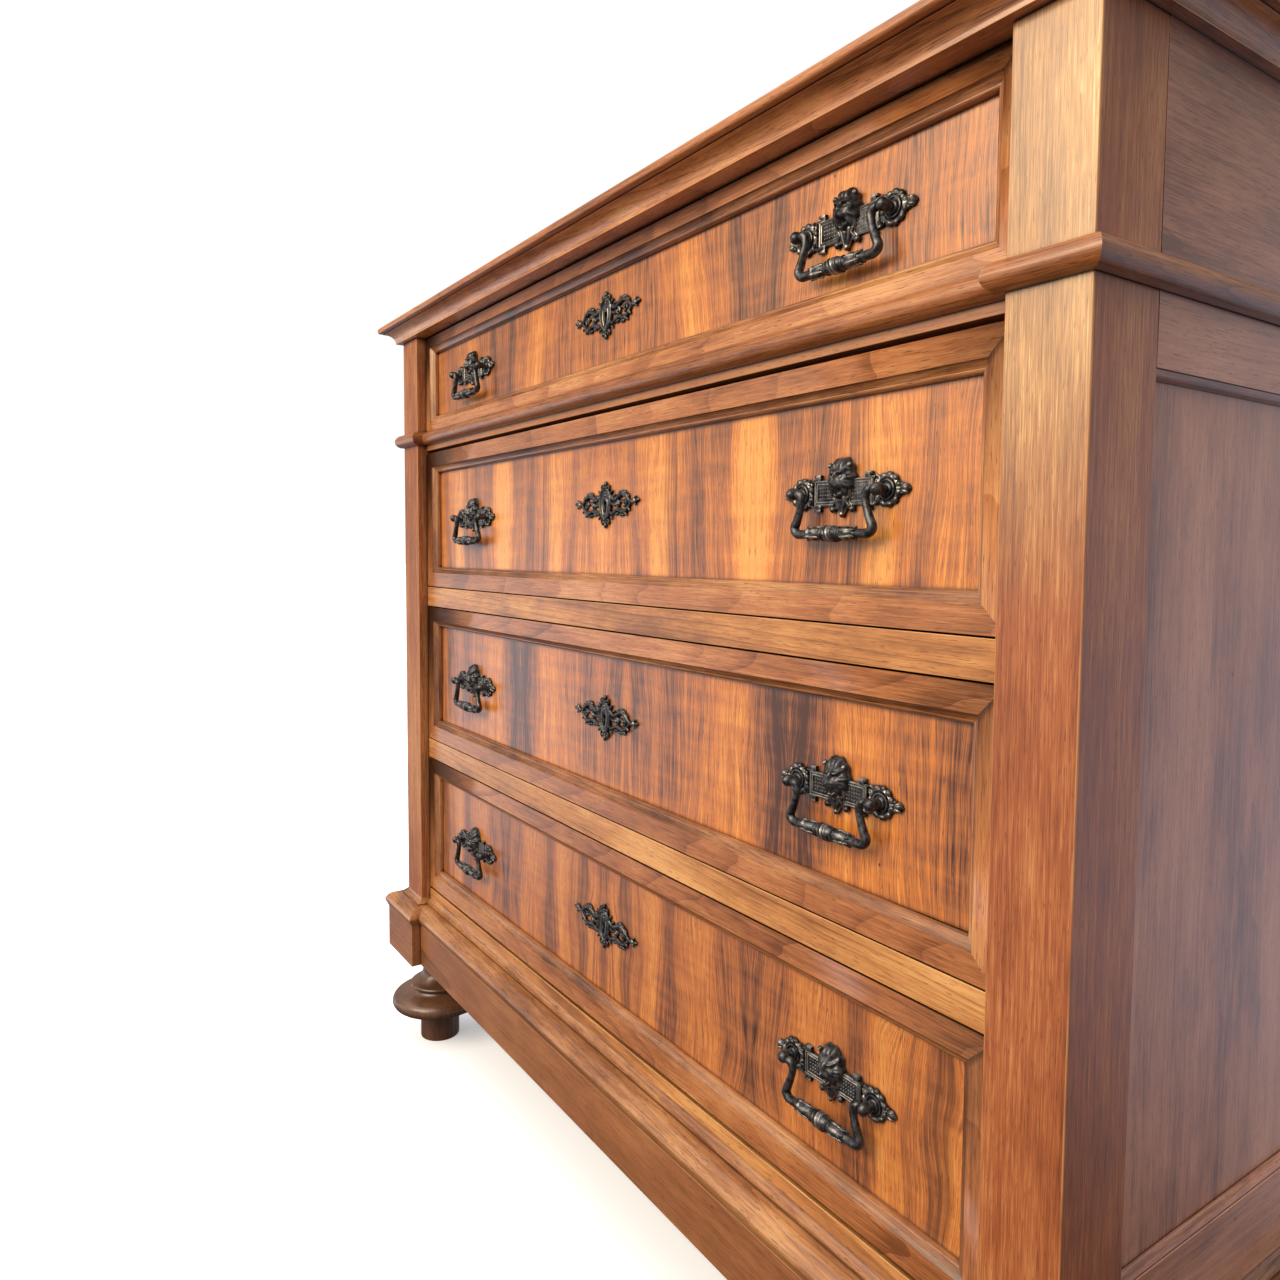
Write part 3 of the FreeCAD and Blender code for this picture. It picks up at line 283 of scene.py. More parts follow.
def veneerMaterial(name):
    veneer = veneers[name]
    material, tree = startMaterial(name)
    place = addNode(tree, "Attribute", attribute_name="grainPlace").outputs["Vector"]
    split = addNode(tree, "SeparateXYZ", {0: place})
    mirrored = addNode(tree, "Math", {0: split.outputs[1], 1: leafWidth * mm}, operation="PINGPONG").outputs[0]
    leaf = addNode(tree, "CombineXYZ", {0: split.outputs[0], 1: mirrored, 2: split.outputs[2]}).outputs[0]

    def layer(source, stretch, detail, roughness=0.5):
        vector = addNode(tree, "VectorMath", {0: source, 1: stretch}, operation="MULTIPLY").outputs[0]
        return addNode(tree, "TexNoise", {"Vector": vector, "Scale": 1.0, "Detail": detail,
                                          "Roughness": roughness}).outputs[0]

    # The grain wanders sideways up the leaf, and where it folds over it closes in flames
    sway = layer(leaf, (3.0, 6.5, 5), 2.0)
    across = addNode(tree, "Math", {0: sway, 1: veneer["wander"] * mm, 2: mirrored},
                     operation="MULTIPLY_ADD").outputs[0]
    bent = addNode(tree, "CombineXYZ", {0: split.outputs[0], 1: across, 2: split.outputs[2]}).outputs[0]
    # Broad cloudy change, stripes 5 to 20 mm wide, hair lines of 1 mm, and curl as faint bars across the grain
    cloud = layer(bent, (1.6, 10, 5), 2.0)
    stripes = layer(bent, (1.2, 33, 5), 3.0, 0.55)
    hairs = layer(bent, (5, 300, 5), 4.0, 0.68)
    fibre = layer(bent, (30, 1000, 5), 1.0)
    curl = layer(leaf, (95, 18, 5), 2.0)
    tone = blended(tree, 0.5, [(cloud, veneer["clouds"]), (stripes, veneer["stripes"]), (hairs, 0.7),
                               (fibre, 0.75), (curl, 0.3)])
    colour = addNode(tree, "ValToRGB", {0: tone}, [(0.1, veneer["dark"]), (0.34, veneer["streak"]),
                                                   (0.56, veneer["mid"]), (0.86, veneer["light"])]).outputs[0]
    # Nearly black lines, in groups
    line = addNode(tree, "ValToRGB", {0: layer(bent, (1.0, 125, 5), 3.0, 0.6)},
                   [(0.36, 1.0), (0.5, 0.0)]).outputs[0]
    group = addNode(tree, "ValToRGB", {0: layer(bent, (1.2, 13, 9), 1.0)},
                    [(0.44, 0.0), (0.62, veneer["lines"])]).outputs[0]
    lines = addNode(tree, "Math", {0: line, 1: group}, operation="MULTIPLY").outputs[0]
    pores = addNode(tree, "ValToRGB", {0: layer(leaf, (100, 1400, 5), 1.0)},
                    [(0.3, 0.7), (0.36, 0.0)]).outputs[0]
    colour = overlaid(tree, colour, [(lines, veneer["dark"]), (pores, veneer["dark"])])
    # Rubbed edges, worm holes, and corners darkened as painted shade and dust
    colour = agedAndCornerShaded(tree, colour, "1E120B", veneer["light"])
    gloss = addNode(tree, "Math", {0: curl, 1: 0.16, 2: 0.26}, operation="MULTIPLY_ADD").outputs[0]
    relief = addNode(tree, "Math", {0: hairs, 1: -0.4, 2: pores}, operation="MULTIPLY_ADD").outputs[0]
    bump = addNode(tree, "Bump", {"Strength": 0.1, "Distance": 0.15 * mm, "Height": relief}, invert=True).outputs[0]
    closeMaterial(tree, {"Base Color": colour, "Roughness": gloss, "Normal": bump, "IOR": 1.5,
                         "Coat Weight": 0.6, "Coat Roughness": 0.3})
    return material


# Cast iron with a dark bronzed coat: nearly black in the hollows, pale grey where hands have rubbed the ridges
irons = {
    "ironBronzed": {"hollow": "28282A", "coat": "5A5B60", "rubbed": "C4C2C0", "roughness": 0.33},
    # The locks inside, brown with age and never handled
    "ironLock": {"hollow": "1E1D1B", "coat": "3A3835", "rubbed": "7A7772", "roughness": 0.38},
}


def ironMaterial(name):
    metal = irons[name]
    material, tree = startMaterial(name)
    place = addNode(tree, "TexCoord").outputs["Object"]
    mottle = addNode(tree, "TexNoise", {"Vector": place, "Scale": 260.0, "Detail": 3.0}).outputs[0]
    grit = addNode(tree, "TexNoise", {"Vector": place, "Scale": 1400.0, "Detail": 2.0}).outputs[0]
    corner = addNode(tree, "AmbientOcclusion", {"Distance": 3 * mm}, samples=6).outputs["AO"]
    ridge = addNode(tree, "AmbientOcclusion", {"Distance": 0.9 * mm}, samples=6, inside=True).outputs["AO"]
    worn = addNode(tree, "ValToRGB", {0: ridge}, [(0.35, 1.0), (0.7, 0.0)]).outputs[0]
    worn = addNode(tree, "Math", {0: worn, 1: mottle}, operation="MULTIPLY").outputs[0]
    colour = addNode(tree, "ValToRGB", {0: mottle}, [(0.35, metal["hollow"]), (0.65, metal["coat"])]).outputs[0]
    colour = overlaid(tree, colour, [(worn, metal["rubbed"])])
    grime = addNode(tree, "ValToRGB", {0: corner}, [(0.2, 0.35), (0.9, 1.0)]).outputs[0]
    colour = addNode(tree, "Mix", {0: 1.0, 6: colour, 7: grime}, data_type="RGBA", blend_type="MULTIPLY").outputs[2]
    gloss = addNode(tree, "Math", {0: mottle, 1: 0.22, 2: metal["roughness"] - 0.11},
                    operation="MULTIPLY_ADD").outputs[0]
    bump = addNode(tree, "Bump", {"Strength": 0.3, "Distance": 0.15 * mm, "Height": grit}).outputs[0]
    closeMaterial(tree, {"Base Color": colour, "Metallic": 0.75, "Roughness": gloss, "Normal": bump})
    return material


materials = {name: woodMaterial(name) for name in woods}
materials.update({name: veneerMaterial(name) for name in veneers})
materials.update({name: ironMaterial(name) for name in irons})
print("materials made:", len(materials))


# Woodwork: each board is the CAD board with its edges eased by hand and age

# Distances under this many metres are one place
weld = 1e-6
# Angles in degrees: edges to ease, creases that shading keeps in woodwork and in castings
creases = {"eased": 40, "wood": 32, "iron": 38}


def addObject(name, data):
    made = bpy.data.objects.new(name, data)
    bpy.context.scene.collection.objects.link(made)
    return made


def toMesh(bm, name):
    mesh = bpy.data.meshes.new(name)
    bm.to_mesh(mesh)
    bm.free()
    return mesh


def easeEdges(bm, edges, width):
    return bmesh.ops.bevel(bm, geom=edges, offset=width, offset_type="OFFSET", affect="EDGES", segments=2,
                           profile=0.5, material=-1, clamp_overlap=True)["faces"]


def islandsOf(bm):
    # Faces of each separate board, in the mesh's own order so that every run draws alike
    seen = set()
    for start in bm.faces:
        if start not in seen:
            seen.add(start)
            found, front = [], [start]
            while front:
                face = front.pop()
                found.append(face)
                for other in (other for vert in face.verts for other in vert.link_faces):
                    if other not in seen:
                        seen.add(other)
                        front.append(other)
            yield found


def boundsOf(verts):
    return tuple(Vector([pick(vert.co[axis] for vert in verts) for axis in range(3)]) for pick in (min, max))


def mitredMembers(bm, sides):
    # Cuts a frame or moulding along its mitres; each face goes to the side of the whole that it is nearest to
    low, high = boundsOf(bm.verts)
    edges = [(axis, high[axis] if sign > 0 else low[axis], sign) for axis, sign in sides]
    for number, (axis, level, sign) in enumerate(edges):
        for other, otherLevel, otherSign in edges[number + 1:]:
            if other != axis:
                place, normal = Vector(), Vector()
                place[axis], place[other] = level, otherLevel
                normal[axis], normal[other] = sign, -otherSign
                bmesh.ops.bisect_plane(bm, geom=bm.verts[:] + bm.edges[:] + bm.faces[:], dist=weld,
                                       plane_co=place, plane_no=normal)
    members = [[] for edge in edges]
    for face in bm.faces:
        centre = face.calc_center_median()
        reach = [abs(centre[axis] - level) for axis, level, sign in edges]
        members[reach.index(min(reach))].append(face)
    return [member for member in members if member]


def layGrain(bm, grain, dice, sides=None):
    # Stores, for every corner, its place along the grain, across the face and through the board
    boards = mitredMembers(bm, sides) if sides else list(islandsOf(bm))
    layer = bm.loops.layers.float_vector.new("grainPlace")
    toneLayer = bm.loops.layers.float.new("boardTone")
    for board in boards:
        low, high = boundsOf({vert for face in board for vert in face.verts})
        size = high - low
        order = sorted(range(3), key=lambda axis: -size[axis])
        if grain is not None:
            order.remove(grain)
            order.insert(0, grain)
        centre = (low + high) / 2
        shift = Vector((dice.uniform(2, 9), dice.uniform(-0.05, 0.05), dice.uniform(0.03, 0.09)))
        boardTone = dice.random()
        for loop in (loop for face in board for loop in face.loops):
            place = loop.vert.co - centre
            loop[layer] = Vector([place[axis] for axis in order]) + shift
            loop[toneLayer] = boardTone


# Sides where mitred members lie, as axis and direction
frameSides = [(0, -1), (0, 1), (2, -1), (2, 1)]
mouldingSides = [(0, -1), (0, 1), (1, -1)]
mouldings = ("cornice", "astragal", "plinth_cap")
# Past this share of one axis a face of a drawer frame is flat, otherwise it is the slope inside the frame, painted
# darker as shade
flatShare = 0.985


def easedBoards(nodeName, materialName, slotName, easing, grain, seed, slopeName=None):
    source = nodes[nodeName]
    bm = bmesh.new()
    bm.from_mesh(source.data)
    bmesh.ops.remove_doubles(bm, verts=bm.verts, dist=weld)
    bmesh.ops.dissolve_limit(bm, angle_limit=math.radians(0.5), verts=bm.verts, edges=bm.edges)
    turn = math.radians(creases["eased"])
    sharp = [edge for edge in bm.edges if edge.is_manifold and edge.calc_face_angle(0) > turn]
    edgeLayer = bm.faces.layers.float.new("easedEdge")
    for face in easeEdges(bm, sharp, easing * mm):
        face[edgeLayer] = 1.0
    sides = frameSides if slopeName else mouldingSides if nodeName in mouldings else None
    layGrain(bm, grain, random.Random(seed), sides)
    for face in bm.faces:
        face.smooth = True
    mesh = toMesh(bm, nodeName + "_eased")
    mesh.materials.append(materials[materialName])
    # The slopes inside a drawer frame take the darker moulding wood as painted shade
    if slopeName:
        mesh.materials.append(materials[slopeName])
        for polygon in mesh.polygons:
            polygon.material_index = int(max(abs(value) for value in polygon.normal) < flatShare)
    piece = addObject(mesh.name, mesh)
    mesh.set_sharp_from_angle(angle=math.radians(creases["wood"]))
    # Broad faces stay flat and the eased edges take the turn
    piece.modifiers.new("facing", "WEIGHTED_NORMAL").keep_sharp = True
    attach(piece, source["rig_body"])
    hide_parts(nodeName)


alongX, alongY, alongZ = 0, 1, 2
# Node, material, record slot, easing in millimetres, grain direction where it isn't the longest side
caseBoards = [
    ("top_board", "walnutPolished", "walnut_polished", 0.4, None),
    ("cornice", "walnutCornice", "walnut_polished", 0.4, None),
    ("astragal", "walnutBead", "walnut_polished", 0.3, None),
    ("post_front_left", "walnutPostShaded", "walnut_polished", 0.9, None),
    ("post_front_right", "walnutPost", "walnut_polished", 0.9, None),
    ("post_rear_left", "walnutSide", "walnut_polished", 0.9, None),
    ("post_rear_right", "walnutSide", "walnut_polished", 0.9, None),
    ("side_panel_left", "walnutSide", "walnut_polished", 0.3, alongZ),
    ("side_panel_right", "walnutSide", "walnut_polished", 0.3, alongZ),
    ("side_rails_left", "walnutSide", "walnut_polished", 0.4, alongY),
    ("side_rails_right", "walnutSide", "walnut_polished", 0.4, alongY),
    # The upper rail takes the darker plinth wood as painted shadow under the astragal
    ("drawer_rail_1", "walnutPlinth", "walnut_polished", 0.6, None),
    ("drawer_rail_2", "walnutRail", "walnut_polished", 0.6, None),
    ("drawer_rail_3", "walnutRail", "walnut_polished", 0.6, None),
    ("base_rail", "walnutRail", "walnut_polished", 0.6, None),
    ("plinth_cap", "walnutMoulding", "walnut_polished", 0.4, None),
    ("plinth_front", "walnutPlinth", "walnut_polished", 0.8, None),
    ("plinth_blocks", "walnutPlinth", "walnut_polished", 0.8, alongX),
    ("plinth_sides", "walnutSide", "walnut_polished", 0.8, None),
    ("runners", "poplarPlain", "poplar_plain", 0.5, None),
    ("dust_boards", "poplarPlain", "poplar_plain", 0.3, None),
    ("back_panel", "poplarPlain", "poplar_plain", 0.4, None),
]
drawerBoards = [
    ("front", "walnutVeneer", "walnut_veneer", 0.3, alongZ),
    ("frame", "walnutPolished", "walnut_polished", 0.35, None),
    ("box", "poplarPlain", "poplar_plain", 0.5, None),
    ("bottom", "poplarPlain", "poplar_plain", 0.3, None),
]
# Seeds whose draws gave each drawer front and board about the tone it has in the photo
caseSeed, drawerSeed, footSeed = 11, 120, 71
for seed, (nodeName, materialName, slotName, easing, grain) in enumerate(caseBoards, start=caseSeed):
    easedBoards(nodeName, materialName, slotName, easing, grain, seed)
for count in range(1, 5):
    for part, materialName, slotName, easing, grain in drawerBoards:
        if part == "front" and count == 4:
            materialName = "walnutVeneerFlame"
        slope = "walnutMoulding" if part == "frame" else None
        easedBoards(f"drawer_{count}_{part}", materialName, slotName, easing, grain, drawerSeed + count, slope)
print("boards eased")


# Castings: each is built in millimetres about its own middle, X right, Z up and -Y outwards

def newest(result, kind):
    return [item for item in result if isinstance(item, kind)]


def slab(bm, corners, front, easing=0.4):
    # A flat shape standing from the back, y = 0, to y = -front, with its front edge eased
    face = bm.faces.new([bm.verts.new((x, 0, z)) for x, z in corners])
    grown = bmesh.ops.extrude_face_region(bm, geom=[face])["geom"]
    bmesh.ops.translate(bm, verts=newest(grown, bmesh.types.BMVert), vec=(0, -front, 0))
    easeEdges(bm, newest(grown, bmesh.types.BMEdge), easing)


def turnedOn(bm, profile, place, axis=(0, -1, 0), steps=28):
    # Spins a profile of (radius, height) pairs about an axis through a place
    axis = Vector(axis).normalized()
    side = axis.orthogonal().normalized()
    verts = [bm.verts.new(Vector(place) + side * radius + axis * height) for radius, height in profile]
    edges = [bm.edges.new(pair) for pair in zip(verts, verts[1:])]
    bmesh.ops.spin(bm, geom=verts + edges, cent=place, axis=axis, dvec=(0, 0, 0), angle=math.tau, steps=steps,
                   use_merge=True, use_duplicate=False)


def blob(bm, place, size, turn=0.0, detail=2):
    # A small rounded lump, turned in the plane of the plate
    matrix = Matrix.Translation(place) @ Matrix.Rotation(turn, 4, "Y") @ Matrix.Diagonal((*size, 1))
    bmesh.ops.create_icosphere(bm, subdivisions=detail, radius=1, matrix=matrix)


def curvePoint(points, where):
    # Smooth line through the points (x, y, z, radius)
    here = min(int(where), len(points) - 2)
    part = where - here
    a, b, c, d = (Vector(points[max(0, min(len(points) - 1, here + step))]) for step in (-1, 0, 1, 2))
    return 0.5 * (2 * b + (c - a) * part + (2 * a - 5 * b + 4 * c - d) * part ** 2
                  + (3 * b - a - 3 * c + d) * part ** 3)


# No bar is thinner than this radius in millimetres
thinnest = 0.05


def limb(bm, points, flat=1.0, sides=10, fineness=5):
    # A rounded bar along a line; points are (x, z, radius, height above the back)
    points = [(x, -height, z, radius) for x, z, radius, height in points]
    count = (len(points) - 1) * fineness
    stations = [curvePoint(points, (len(points) - 1) * step / count) for step in range(count + 1)]
    rings = []
    for step, station in enumerate(stations):
        ahead = stations[min(step + 1, count)].xyz - stations[max(step - 1, 0)].xyz
        tangent = ahead.normalized()
        side = tangent.cross(Vector((0, 1, 0))).normalized()
        lift = side.cross(tangent)
        matrix = Matrix((side, lift * flat, tangent)).transposed().to_4x4()
        matrix.translation = station.xyz
        cap = step in (0, count)
        radius = max(station.w, thinnest)
        ring = bmesh.ops.create_circle(bm, segments=sides, radius=radius, cap_ends=cap, matrix=matrix)
        rings.append(list(dict.fromkeys(edge for vert in ring["verts"] for edge in vert.link_edges)))
    for first, second in zip(rings, rings[1:]):
        bmesh.ops.bridge_loops(bm, edges=first + second)


def volute(bm, place, radius, thickness, start, sweep, height):
    # A curl that winds in to an eye; start and sweep in degrees
    steps, shrink = 9, 0.32
    points = []
    for step in range(steps):
        part = step / (steps - 1)
        angle = math.radians(start + sweep * part)
        reach = radius * (1 - (1 - shrink) * part)
        points.append((place[0] + reach * math.cos(angle), place[1] + reach * math.sin(angle),
                       thickness * (1 - 0.35 * part), height))
    limb(bm, points, sides=8, fineness=3)
    blob(bm, (place[0], -height - thickness * 0.2, place[1]), (radius * 0.42,) * 3)


def finished(bm, name):
    bmesh.ops.recalc_face_normals(bm, faces=bm.faces)
    for face in bm.faces:
        face.smooth = True
    mesh = toMesh(bm, name)
    mesh.set_sharp_from_angle(angle=math.radians(creases["iron"]))
    return mesh


# Handle plate, millimetres
plate = {"thickness": 2.4, "barHalf": 31, "barHeight": 10, "bossHalf": 45, "bossRadius": 12.5,
         "pendant": 19, "maskMiddle": 9.5, "maskWidth": 27, "maskHeight": 34, "maskDepth": 11.5, "pivot": 13,
         "ball": 5, "stem": 3.2}


def plateBar(bm):
    half, high, thick = plate["barHalf"], plate["barHeight"], plate["thickness"]
    slab(bm, [(-half, -high), (half, -high), (half, high), (-half, high)], thick)
    # Two raised border lines round each wing, and rows of beads on its field
    for sign in (-1, 1):
        for inset, radius in ((1.1, 0.75), (3.1, 0.6)):
            near, far, tall = 9.0, half - inset, high - inset
            corners = [(near, -tall), (far, -tall), (far, tall), (near, tall)]
            for first, second in zip(corners, corners[1:]):
                limb(bm, [(sign * x, z, radius, thick) for x, z in (first, second)], sides=6, fineness=1)
        for row in range(4):
            for column in range(6):
                bead = (sign * (10.5 + 2.7 * column), -thick, -4.2 + 2.8 * row)
                blob(bm, bead, (0.85, 0.8, 0.85), detail=1)
        # Square hooks above and below the ends of the wing
        for level in (-1, 1):
            hook = [(23.5, -1), (33.5, -1), (33.5, 0.8), (28.2, 0.8), (28.2, 4), (23.5, 4)]
            barb = [(23.5, 2.2), (30.2, 2.2), (30.2, 4.2), (23.5, 4.2)]
            for outline, front, easing in ((hook, thick + 0.8, 0.45), (barb, thick + 1.1, 0.4)):
                slab(bm, [(sign * x, level * (high + z)) for x, z in outline], front, easing)
            volute(bm, (sign * 35.2, level * 7.2), 3.4, 1.3, 90, -level * sign * 300, thick)


def roundel(bm, sign):
    # Stepped rings in a scalloped shell, with the stud and its ball in front
    centre = (sign * plate["bossHalf"], 0, 0)
    rim, thick = plate["bossRadius"], plate["thickness"]
    stem, ball, pivot = plate["stem"], plate["ball"], plate["pivot"]
    rings = [(0, 0), (rim - 1.5, 0), (rim - 1.5, thick), (rim - 3, thick + 0.8), (rim - 3.4, thick - 0.4),
             (rim - 4.6, thick - 0.4), (rim - 5, thick + 1.1), (rim - 5.9, thick + 1.3),
             (rim - 6.3, thick + 0.1), (rim - 7.3, thick + 0.1), (rim - 7.7, thick + 1.5)]
    stud = [(stem + 1, thick + 2), (stem, thick + 2.4), (stem - 0.3, pivot - 6), (stem + 0.9, pivot - 5.2),
            (stem + 0.6, pivot - 4.4), (ball * 0.86, pivot - 2.6), (ball, pivot), (ball * 0.87, pivot + 2.5),
            (ball * 0.5, pivot + 4.33), (0, pivot + ball)]
    turnedOn(bm, rings + stud, centre, steps=32)
    lobes = 11
    for index in range(lobes):
        angle = math.tau * (index + 0.5) / lobes
        x, z = (rim - 1.9) * math.cos(angle), (rim - 1.9) * math.sin(angle)
        blob(bm, (centre[0] + x, -thick * 0.75, z), (2.5, 1.9, 3.2), turn=-angle)
    # Neck and bud at the outer end
    x = [sign * (plate["bossHalf"] + rim + step) for step in (-2.5, 0.2, 2.4, 4.6, 6.6, 9)]
    limb(bm, list(zip(x, (0,) * 6, (3.4, 2.1, 3.3, 3.9, 3.0, 0.4), (1.2,) * 6)), flat=0.75, sides=12)
    for level in (-1, 1):
        blob(bm, (x[1] + sign * 0.8, -1.6, level * 3.1), (1.9, 1.5, 1.5))
        blob(bm, (x[3] - sign * 0.4, -2.6, level * 2.0), (3.0, 1.6, 1.4), turn=-sign * level * 0.3)


def lappet(bm):
    # Leafy shield from the chin to the trefoil drop
    thick = plate["thickness"]
    drop = plate["pendant"]
    slab(bm, [(-8.5, 4), (-9.5, -2), (-8, -7), (-11, -9.5), (-9, -12.5), (-4.5, -12.5), (0, -drop),
              (4.5, -12.5), (9, -12.5), (11, -9.5), (8, -7), (9.5, -2), (8.5, 4)], thick + 0.9, 0.6)
    for sign in (-1, 1):
        blob(bm, (sign * 10.3, -thick, -12.6), (2.7, 2.3, 2.7))
        limb(bm, [(sign * 7.5, 5, 1.2, 4.4), (sign * 8.2, -1, 1.5, 4), (sign * 6.0, -7, 1.4, 3.8),
                  (sign * 9.2, -10.4, 1.0, 3.4)], sides=8)
        limb(bm, [(sign * 3.4, 2, 2.2, 4.0), (sign * 3.9, -4, 2.4, 3.8), (sign * 2.9, -10, 2.1, 3.4),
                  (sign * 0.8, -drop + 3, 1.2, 3.0)], sides=10)
    limb(bm, [(0, 1, 2.4, 5.0), (0, -5, 2.4, 4.6), (0, -11, 2.0, 4.0), (0, -drop + 2.4, 1.1, 3)], sides=10)
    blob(bm, (0, -thick - 0.8, -drop + 2.6), (2.2, 1.6, 2.6))


# A lion's head: lumps and hollows on a rounded boss, each (x, z, spread across, spread up, depth)
lionFeatures = [
    (0, 8.5, 3.0, 3.4, -0.9), (4.2, 5.2, 2.8, 1.3, 2.0), (4.4, 2.4, 1.9, 1.3, -2.2), (4.3, 2.3, 0.8, 0.7, 1.4),
    (0, 1.0, 1.6, 4.5, 2.4), (0, -4.6, 4.0, 3.0, 3.2), (2.8, -5.6, 1.9, 1.7, 1.0), (0, -2.6, 2.2, 1.1, 1.2),
    (7.2, -1.5, 2.2, 3.4, 0.9), (0, -9.4, 3.4, 1.2, -2.6), (0, -12.6, 3.0, 1.8, 1.8),
    (8.6, 4.5, 1.3, 4.5, -1.1),
]


def lionMask(bm):
    wide, high, deep = plate["maskWidth"] / 2, plate["maskHeight"] / 2, plate["maskDepth"]
    matrix = Matrix.Rotation(math.radians(90), 4, "X")
    sphere = bmesh.ops.create_uvsphere(bm, u_segments=72, v_segments=56, radius=1, matrix=matrix)["verts"]
    for vert in sphere:
        x, z = vert.co.x * wide, vert.co.z * high
        outward = max(-vert.co.y, 0.0)
        relief = 0.0
        for fx, fz, sx, sz, depth in lionFeatures:
            for side in ((-1, 1) if fx else (1,)):
                relief += depth * math.exp(-((x - side * fx) / sx) ** 2 - ((z - fz) / sz) ** 2)
        angle = math.atan2(z, x)
        mane = max(0.0, min(1.0, (math.hypot(x / wide, z / high) - 0.52) / 0.2))
        relief += mane * (0.6 * math.sin(angle * 18 + 2 * math.sin(3 * angle)) + 0.5)
        grow = 1 + 0.05 * mane * math.sin(angle * 11)
        vert.co = Vector((x * grow, vert.co.y * deep - relief * min(1.0, outward * 2.2),
                          z * grow + plate["maskMiddle"]))
    for sign in (-1, 1):
        blob(bm, (sign * 10.2, -5.4, plate["maskMiddle"] + 10.6), (2.5, 2.1, 2.3))
        blob(bm, (sign * 10.2, -7.0, plate["maskMiddle"] + 10.3), (1.3, 1.1, 1.2))


def handlePlateMesh():
    bm = bmesh.new()
    plateBar(bm)
    for sign in (-1, 1):
        roundel(bm, sign)
    lappet(bm)
    lionMask(bm)
    return finished(bm, "handlePlate")


# Hanging bail, millimetres; the pins turn in the balls of the studs
bailSize = {"pinEnd": 43.2, "pin": 2.0, "rod": 2.8, "widest": 44.9, "drop": 31.2, "knop": 6.3, "sheath": 5.5}


def bailMesh():
    bm = bmesh.new()
    size = bailSize
    drop, widest = size["drop"], size["widest"] - size["rod"]
    for sign in (-1, 1):
        half = [(size["pinEnd"], 0, size["pin"]), (40.6, 0, size["pin"]), (39.6, 0.1, 3.1), (37.2, -0.2, 3.5),
                (35.0, -1.6, 3.3), (34.0, -4.6, 3.1), (34.6, -9.5, 3.0), (36.8, -16, 3.2),
                (39.6, -22.5, 3.5), (widest - 0.8, -26, 3.7), (widest - 1.6, -29.0, 3.8),
                (widest - 4.8, -31.2, 3.7),
                (widest - 9, -drop - 0.2, 3.6), (28, -drop - 0.2, 3.6), (24.5, -drop, 4.0), (23.4, -drop, 5.2),
                (21.5, -drop, 4.8), (17, -drop, size["sheath"]), (13, -drop, 4.9), (10.2, -drop, 4.4),
                (9.2, -drop, 5.5), (8.0, -drop, 5.5), (7.0, -drop, 4.7), (4.6, -drop, 5.6),
                (0, -drop, size["knop"])]
        limb(bm, [(sign * x, z, radius, 0) for x, z, radius in half], sides=16, fineness=4)
        # Acanthus tips round the sheath, pointing out along the bar
        for index in range(6):
            angle = math.tau * index / 6
            up, out = math.cos(angle), math.sin(angle)
            blob(bm, (sign * 23.5, -out * 4.2, -drop + up * 4.2), (3.8, 1.3, 1.3), turn=-sign * 0.25 * up)
            blob(bm, (sign * 16.5, -out * 4.7, -drop + up * 4.7), (5.6, 1.1, 1.1), turn=sign * 0.1 * up)
    for x in (-3.4, 0, 3.4):
        # Leaning rings give the knop its twist
        axis = Vector((1, 0, 0.32)).normalized()
        ring = [(size["knop"] - 0.4 + 0.9 * math.cos(math.tau * step / 8), 0.9 * math.sin(math.tau * step / 8))
                for step in range(9)]
        turnedOn(bm, ring, (x, 0, -drop), axis=axis, steps=24)
    bmesh.ops.remove_doubles(bm, verts=bm.verts, dist=1e-4)
    return finished(bm, "bail")


# Keyhole plate: a shield between leafy scroll arms, pierced through
keyPlate = {"thickness": 1.8, "top": 24, "bottom": 26, "slot": 1.5, "slotFoot": 9}


def shieldHalf(sign):
    # Half of the shield with half of the keyhole left open along the middle line
    outer = [(0, 15), (4, 14), (8, 11.5), (10.5, 6), (10.8, 0), (9.5, -6), (7.5, -11), (4.5, -15), (0, -17)]
    hole = [(0, -keyPlate["slotFoot"]), (keyPlate["slot"], -keyPlate["slotFoot"]), (keyPlate["slot"], -2.5),
            (2.6, -1.5), (3.0, 0), (2.6, 1.5), (1.5, 2.6), (0, 3.0)]
    return [(sign * x, z) for x, z in outer + hole]


